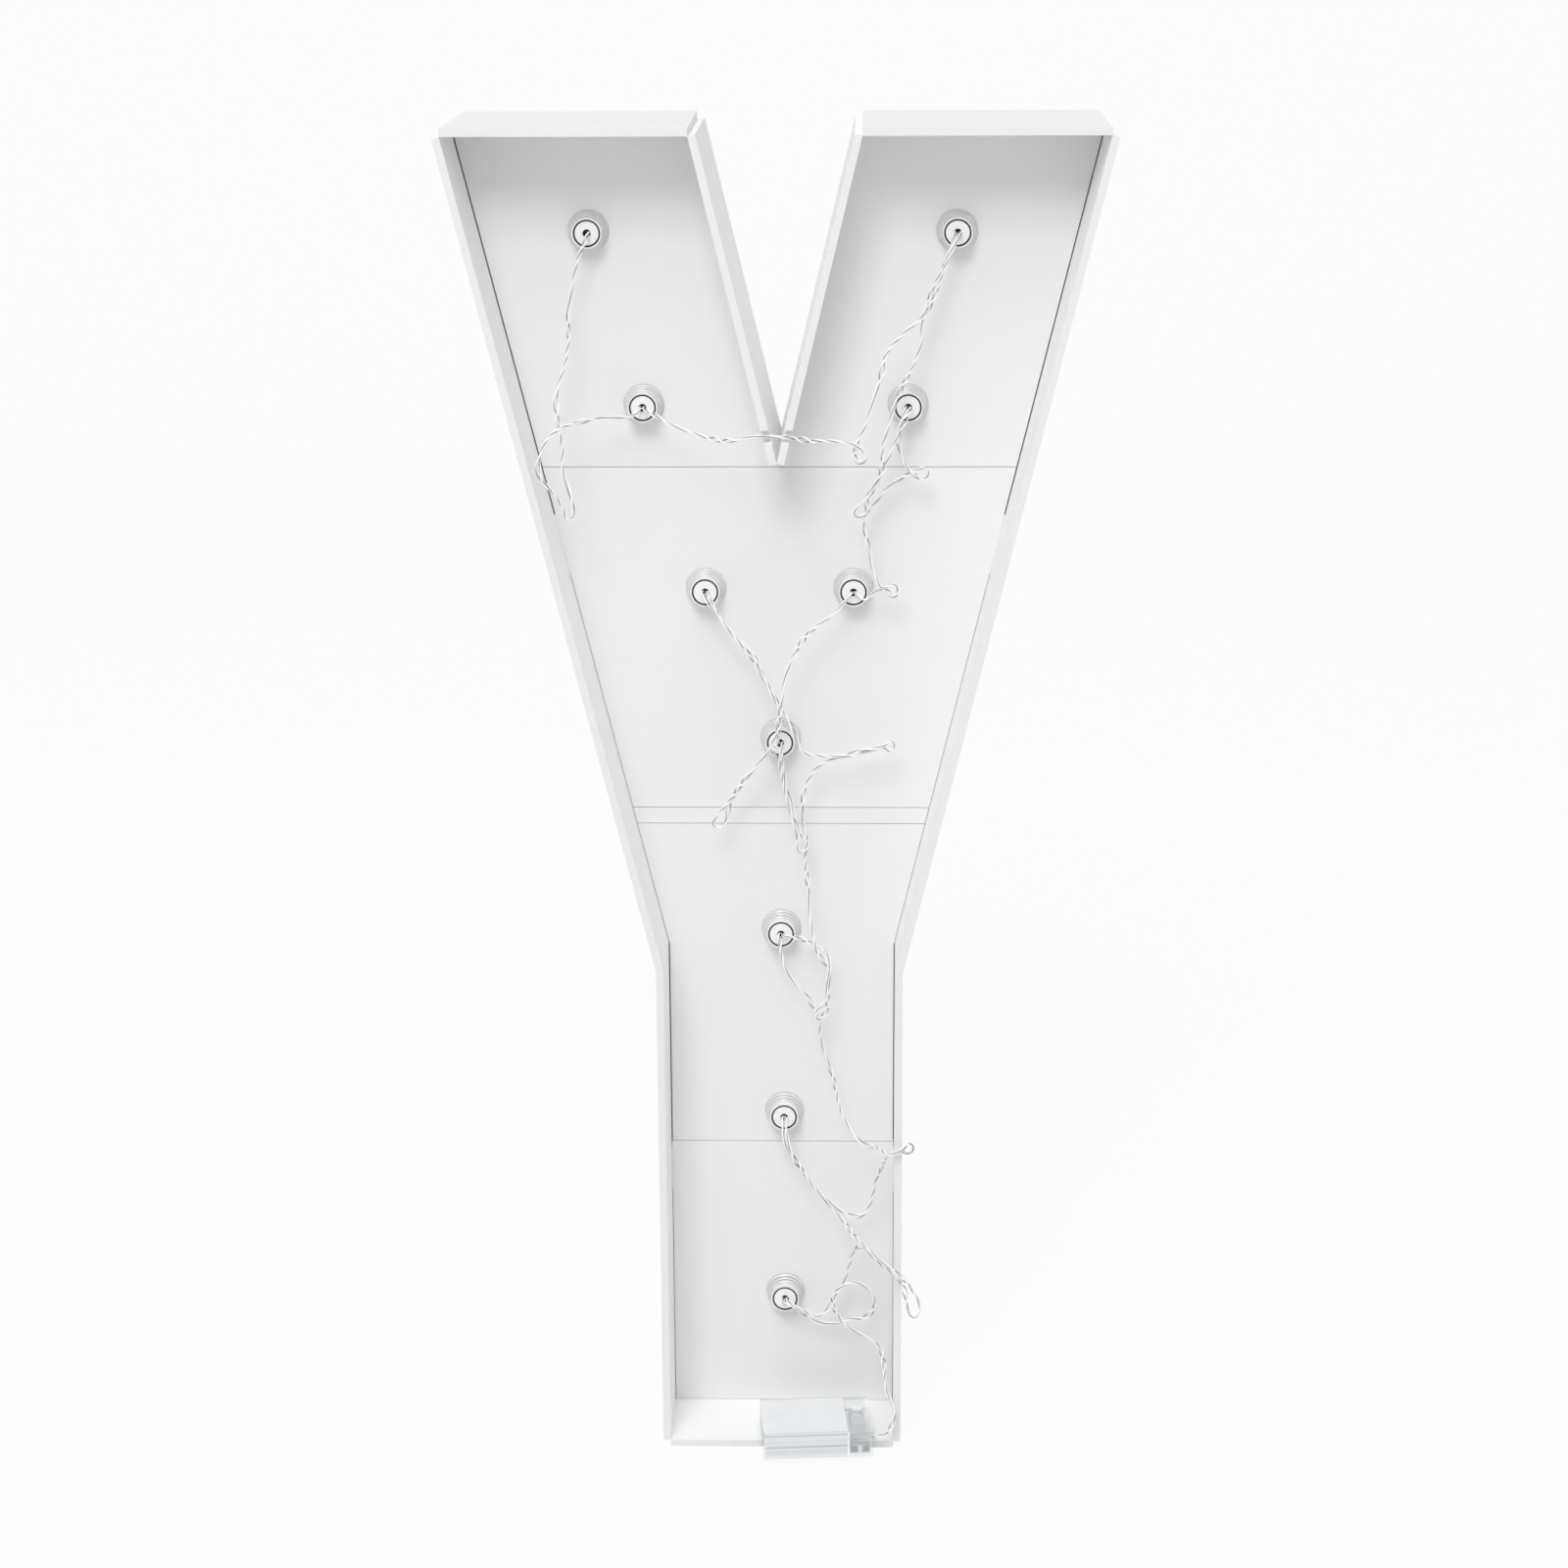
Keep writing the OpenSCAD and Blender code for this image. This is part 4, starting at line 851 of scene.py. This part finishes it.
class LETTER_OT_wires(bpy.types.Operator):
    """Lay the twisted pairs of the light string from the battery box to each bulb in turn"""
    bl_idname = "letter.wires"
    bl_label = "Wires"

    def execute(self, context):
        settings = context.scene.letter_wire
        jacket = finish("wire_jacket", settings.colour, darker(settings.colour, 0.93), cloud=40, grain=2500,
                        amount=0.4, rough=0.3, vary=0.05, bump=0.02, Coat_Weight=0.4)
        # Painted shade: the jacket darkens where a strand faces the other strand, in the groove between them.
        groove = add_node(jacket.node_tree, "ShaderNodeAttribute", attribute_name="groove")
        take_over(jacket, groove.outputs["Fac"], settings.groove_shade_colour)
        for number, (node, route) in enumerate(wire_routes()):
            line, length = even_line(smooth_line(route))
            strands = strand_lines(line, length, settings, START_STEP * number)
            mesh = tube_mesh("twisted_" + node, strands, settings.strand / 2)
            mark_groove_shade(mesh, strands)
            piece = add_piece("twisted_" + node, mesh, jacket)
            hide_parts(node)
        return {"FINISHED"}


class LETTER_OT_boards(bpy.types.Operator):
    """Give the face panels and the walls their foam board skin"""
    bl_idname = "letter.boards"
    bl_label = "Boards"

    def execute(self, context):
        settings = context.scene.letter_board
        dress(FACE_PANELS, self.face_board(settings))
        # Painted light: the side, notch and bottom walls get a lighter board colour than the panels and top
        # walls.
        dress(WALLS, self.wall_board("wall_board", settings.wall_colour_with_painted_light, settings))
        dress(TOP_WALLS, self.wall_board("top_board", settings.top_colour, settings))
        return {"FINISHED"}

    def skin(self, name, colour, settings, cloud):
        """Paper skin of a board, with the facing of its sides."""
        board = finish(name, colour, darker(colour, 0.965), cloud=cloud, grain=1400, amount=0.5,
                       rough=settings.roughness, vary=0.06, bump=0.03)
        facing = add_node(board.node_tree, "ShaderNodeGroup", node_tree=facing_group(), Line_depth=LINE_DEPTH)
        return board, board.node_tree, facing.outputs

    def face_board(self, settings):
        """Panel board: pale skin and tab ends, and painted shade on the side edges and floors of the open
        lines beside the panels.
        """
        face, tree, facing = self.skin("face_board", settings.face_colour, settings, cloud=7)
        height = spot_axes(tree)["Z"]
        arm_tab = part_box("middle_panel")[1].z - ARM_TAB_DROP
        stem_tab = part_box("lower_stem_panel")[1].z - STEM_TAB_DROP
        tabs = solve(tree, "MAXIMUM", solve(tree, "COMPARE", height, arm_tab, ARM_TAB_HALF),
                     solve(tree, "COMPARE", height, stem_tab, STEM_TAB_HALF))
        # Painted shade: the panels' side edges, except the tab ends, and the floors of the open lines take
        # the dark shade colour.
        side = solve(tree, "SUBTRACT", facing["Side"], tabs)
        take_over(face, solve(tree, "MAXIMUM", side, facing["Line floor"]), settings.gap_shade_colour)
        return face

    def wall_board(self, name, colour, settings):
        """Wall board: pale skin, and open foam cells along the cut rims."""
        wall, tree, facing = self.skin(name, colour, settings, cloud=8)
        place = add_node(tree, "ShaderNodeTexCoord")
        cells = add_node(tree, "ShaderNodeTexVoronoi", Scale=CELL_SCALE)
        link(tree, place, "Object", cells, "Vector")
        take_over(wall, facing["Rim"], settings.rim_colour)
        raise_over(wall, facing["Rim"], solve(tree, "MULTIPLY", cells.outputs["Distance"], CELL_DEPTH))
        return wall


class LETTER_OT_bulbs(bpy.types.Operator):
    """Finish the bulb covers, their wire plugs and the small lamps inside"""
    bl_idname = "letter.bulbs"
    bl_label = "Bulbs"

    def execute(self, context):
        settings = context.scene.letter_bulb
        cover = finish("bulb_plastic", settings.cover_colour, darker(settings.cover_colour, 0.95), cloud=60,
                       grain=1800, amount=0.4, rough=0.16, vary=0.03, bump=0.01,
                       Transmission_Weight=0.12, Coat_Weight=0.5, IOR=1.49)
        plug = finish("plug_plastic", settings.plug_colour, darker(settings.plug_colour, 0.95), cloud=90,
                      grain=2500, amount=0.4, rough=0.38, vary=0.05, bump=0.02)
        dark_ring_and_hole_shade = finish("black_ring_and_hole_shade", settings.ring_and_hole_shade_colour, darker(settings.ring_and_hole_shade_colour, 0.6), cloud=200,
                      grain=2500, amount=0.5, rough=0.55, vary=0.08, bump=0.03)
        lamp = finish("lamp_lens", settings.lamp_colour, darker(settings.lamp_colour, 0.9), cloud=200,
                      grain=2500, amount=0.3, rough=0.1, vary=0.02, bump=0.01,
                      Transmission_Weight=0.5)
        # Painted shade in the grooves between the necks' threads.
        take_over(cover, self.thread_groove_shade(cover.node_tree), settings.thread_shade_colour)
        dress([f"bulb_cover_{bulb}" for bulb in BULBS], cover)
        dress([f"wire_plug_{bulb}" for bulb in BULBS], plug)
        dress(["bulb_leds"], lamp)
        self.add_rings("plug_dark_rings", dark_ring_and_hole_shade, [
            (SEAL_LIP, SEAL_BACK), (SEAL_OUTER, SEAL_BACK), (SEAL_OUTER, SEAL_FRONT),
            (SEAL_INNER, SEAL_FRONT), (SEAL_INNER, 0), (SEAL_LIP, 0)])
        # Painted shade: a thin dark lining in each plug's wire hole stands for the shade inside it.
        self.add_rings("wire_hole_shade", dark_ring_and_hole_shade, [
            (HOLE_SHADE_INNER, 0), (HOLE_SHADE_OUTER, 0), (HOLE_SHADE_OUTER, SEAT_DEPTH),
            (HOLE_SHADE_PIN, SEAT_DEPTH), (HOLE_SHADE_PIN, HOLE_SHADE_FLOOR), (HOLE_SHADE_INNER, HOLE_SHADE_FLOOR)])
        return {"FINISHED"}

    def thread_groove_shade(self, tree):
        """Painted shade: one in the grooves between the necks' threads, fading out towards the crests."""
        along = spot_axes(tree)["Y"]
        wave = solve(tree, "PINGPONG", solve(tree, "SUBTRACT", along, THREAD_FIRST), THREAD_PITCH / 2)
        depth = add_node(tree, "ShaderNodeMapRange", From_Max=GROOVE_HALF, To_Min=1.0, To_Max=0.0)
        tree.links.new(wave, depth.inputs["Value"])
        behind = solve(tree, "LESS_THAN", along, THREAD_FIRST + GROOVE_HALF)
        before = solve(tree, "GREATER_THAN", along, THREAD_LAST - GROOVE_HALF)
        return solve(tree, "MULTIPLY", solve(tree, "MULTIPLY", behind, before), depth.outputs["Result"])

    def add_rings(self, name, material, profile):
        """One ring for each bulb, spun about the plug's axis from a closed profile of radius and depth."""
        shape = bmesh.new()
        for bulb in BULBS:
            face = plug_seat(bulb, 0) - Vector((0, SEAT_DEPTH, 0))
            corners = [shape.verts.new(face + Vector((radius, depth, 0))) for radius, depth in profile]
            edges = [shape.edges.new(pair) for pair in zip(corners, corners[1:] + corners[:1])]
            bmesh.ops.spin(shape, geom=corners + edges, cent=face, axis=(0, 1, 0), angle=2 * math.pi,
                           steps=SPIN_STEPS, use_merge=True)
        bmesh.ops.remove_doubles(shape, verts=shape.verts, dist=MERGE_DISTANCE)
        mesh = bpy.data.meshes.new(name)
        write_mesh(shape, mesh)
        add_piece(name, mesh, material)


class LETTER_OT_battery_box(bpy.types.Operator):
    """Finish the clear battery box, its frosted lid, the switch and the contacts"""
    bl_idname = "letter.battery_box"
    bl_label = "Battery Box"

    def execute(self, context):
        settings = context.scene.letter_box
        tray = finish("clear_plastic", settings.tray_colour, darker(settings.tray_colour, 0.96), cloud=120,
                      grain=1500, amount=0.3, rough=0.1, vary=0.03, bump=0.01,
                      Coat_Weight=0.3, IOR=1.49)
        self.line_tray(tray, settings)
        lid = finish("frosted_plastic", settings.lid_colour, darker(settings.lid_colour, 0.97), cloud=120,
                     grain=1500, amount=0.3, rough=0.45, vary=0.06, bump=0.03,
                     Alpha=0.8, IOR=1.49)
        switch = finish("switch_plastic", settings.switch_colour, darker(settings.switch_colour, 0.85),
                        cloud=200, grain=2500, amount=0.5, rough=0.45, vary=0.06, bump=0.02)
        knob = finish("knob_plastic", settings.knob_colour, darker(settings.knob_colour, 0.92), cloud=250,
                      grain=2500, amount=0.5, rough=0.3, vary=0.05, bump=0.02)
        plate = finish("contact_metal", PLATE_BRIGHT, PLATE_DULL, cloud=300, grain=2200, amount=0.6,
                       rough=0.3, vary=0.08, bump=0.02, Metallic=1.0)
        spring = finish("spring_steel", SPRING_BRIGHT, SPRING_DULL, cloud=300, grain=2200, amount=0.5,
                        rough=0.2, vary=0.05, bump=0.01, Metallic=1.0)
        board = finish("circuit_board_and_shade", settings.board_and_chamber_shade_colour, darker(settings.board_and_chamber_shade_colour, 0.8), cloud=300,
                       grain=2500, amount=0.6, rough=0.5, vary=0.06, bump=0.02)
        post = finish("board_post", settings.post_colour, darker(settings.post_colour, 0.93), cloud=300,
                      grain=2500, amount=0.5, rough=0.35, vary=0.05, bump=0.02)
        dress(["battery_tray"], tray)
        dress(["battery_lid"], lid)
        dress(["switch_body"], switch)
        dress(["switch_knob"], knob)
        dress(["contact_plates"], plate)
        dress(["contact_springs"], spring)
        # Partly painted shade: the dark board also stands for the shade in the lower part of the switch
        # chamber.
        self.add_fitting("circuit_board_and_shade", board, BOARD_LOW, BOARD_HIGH)
        self.add_fitting("board_post", post, POST_LOW, POST_HIGH)
        return {"FINISHED"}

    def line_tray(self, tray, settings):
        """Marks the tray's painted shade lines, foot and divider, and sets how much each part of it hides."""
        tree = tray.node_tree
        place = add_node(tree, "ShaderNodeTexCoord")
        turn = add_node(tree, "ShaderNodeMapping", vector_type="TEXTURE", Location=BOX_MIDDLE,
                        Rotation=(0, 0, BOX_TURN))
        axes = add_node(tree, "ShaderNodeSeparateXYZ")
        link(tree, place, "Object", turn, "Vector")
        link(tree, turn, "Vector", axes, "Vector")
        across, height = axes.outputs["X"], axes.outputs["Z"]
        facing = add_node(tree, "ShaderNodeGroup", node_tree=facing_group()).outputs
        lines = solve(tree, "MAXIMUM", solve(tree, "COMPARE", height, LIP_LINE, LINE_HALF),
                      solve(tree, "COMPARE", height, RAIL_LINE, LINE_HALF))
        # Painted shade: dark lines on the tray's sides under the lip and over the lower rail.
        dark = solve(tree, "MULTIPLY", lines, facing["Rim"])
        edge = solve(tree, "COMPARE", across, DIVIDER, DIVIDER_HALF)
        divider = solve(tree, "MULTIPLY", edge, facing["Rim"])
        take_over(tray, solve(tree, "LESS_THAN", height, FOOT_TOP), settings.foot_colour)
        take_over(tray, dark, settings.line_shade_colour)
        take_over(tray, divider, settings.divider_colour)
        side = add_node(tree, "ShaderNodeMapRange", To_Min=settings.side_cover, To_Max=settings.chamber_cover)
        clear = add_node(tree, "ShaderNodeMapRange", To_Max=settings.deck_cover)
        cover = add_node(tree, "ShaderNodeMapRange", To_Max=LINE_COVER)
        tree.links.new(solve(tree, "GREATER_THAN", across, DIVIDER), side.inputs["Value"])
        tree.links.new(facing["Level"], clear.inputs["Value"])
        tree.links.new(solve(tree, "MAXIMUM", dark, divider), cover.inputs["Value"])
        link(tree, side, "Result", clear, "To Min")
        link(tree, clear, "Result", cover, "To Min")
        link(tree, cover, "Result", tree.nodes["Principled BSDF"], "Alpha")

    def add_fitting(self, name, material, low, high):
        """A small block with rounded edges in the switch chamber."""
        shape = bmesh.new()
        bmesh.ops.create_cube(shape, size=1)
        bmesh.ops.scale(shape, verts=shape.verts, vec=high - low)
        bmesh.ops.translate(shape, verts=shape.verts, vec=(low + high) / 2)
        bmesh.ops.bevel(shape, geom=shape.edges, offset=FITTING_BEVEL, affect="EDGES", segments=2,
                        profile=0.5, material=-1)
        bmesh.ops.rotate(shape, verts=shape.verts, cent=(0, 0, 0), matrix=Matrix.Rotation(BOX_TURN, 3, "Z"))
        bmesh.ops.translate(shape, verts=shape.verts, vec=BOX_MIDDLE)
        mesh = bpy.data.meshes.new(name)
        write_mesh(shape, mesh)
        add_piece(name, mesh, material)


class LETTER_PT_panel(bpy.types.Panel):
    """Steps that finish the letter, and their settings"""
    bl_idname = "LETTER_PT_panel"
    bl_label = "Light-up Letter"
    bl_space_type = "VIEW_3D"
    bl_region_type = "UI"
    bl_category = "Letter"

    def draw(self, context):
        for operator in OPERATORS:
            self.layout.operator(operator.bl_idname)
        for name, group in SETTINGS.items():
            box = self.layout.box()
            for field in group.__annotations__:
                box.prop(getattr(context.scene, name), field)


OPERATORS = (LETTER_OT_stage, LETTER_OT_wires, LETTER_OT_boards, LETTER_OT_bulbs, LETTER_OT_battery_box)
SETTINGS = {
    "letter_stage": StageSettings, "letter_wire": WireSettings, "letter_board": BoardSettings,
    "letter_bulb": BulbSettings, "letter_box": BoxSettings,
}
CLASSES = (*SETTINGS.values(), *OPERATORS, LETTER_PT_panel)


def register():
    for item in CLASSES:
        bpy.utils.register_class(item)
    for name, group in SETTINGS.items():
        setattr(bpy.types.Scene, name, bpy.props.PointerProperty(type=group))


def unregister():
    for name in SETTINGS:
        delattr(bpy.types.Scene, name)
    for item in reversed(CLASSES):
        bpy.utils.unregister_class(item)


def main():
    register()
    bpy.ops.letter.stage()
    bpy.ops.letter.wires()
    bpy.ops.letter.boards()
    bpy.ops.letter.bulbs()
    bpy.ops.letter.battery_box()


if __name__ == "__main__":
    main()
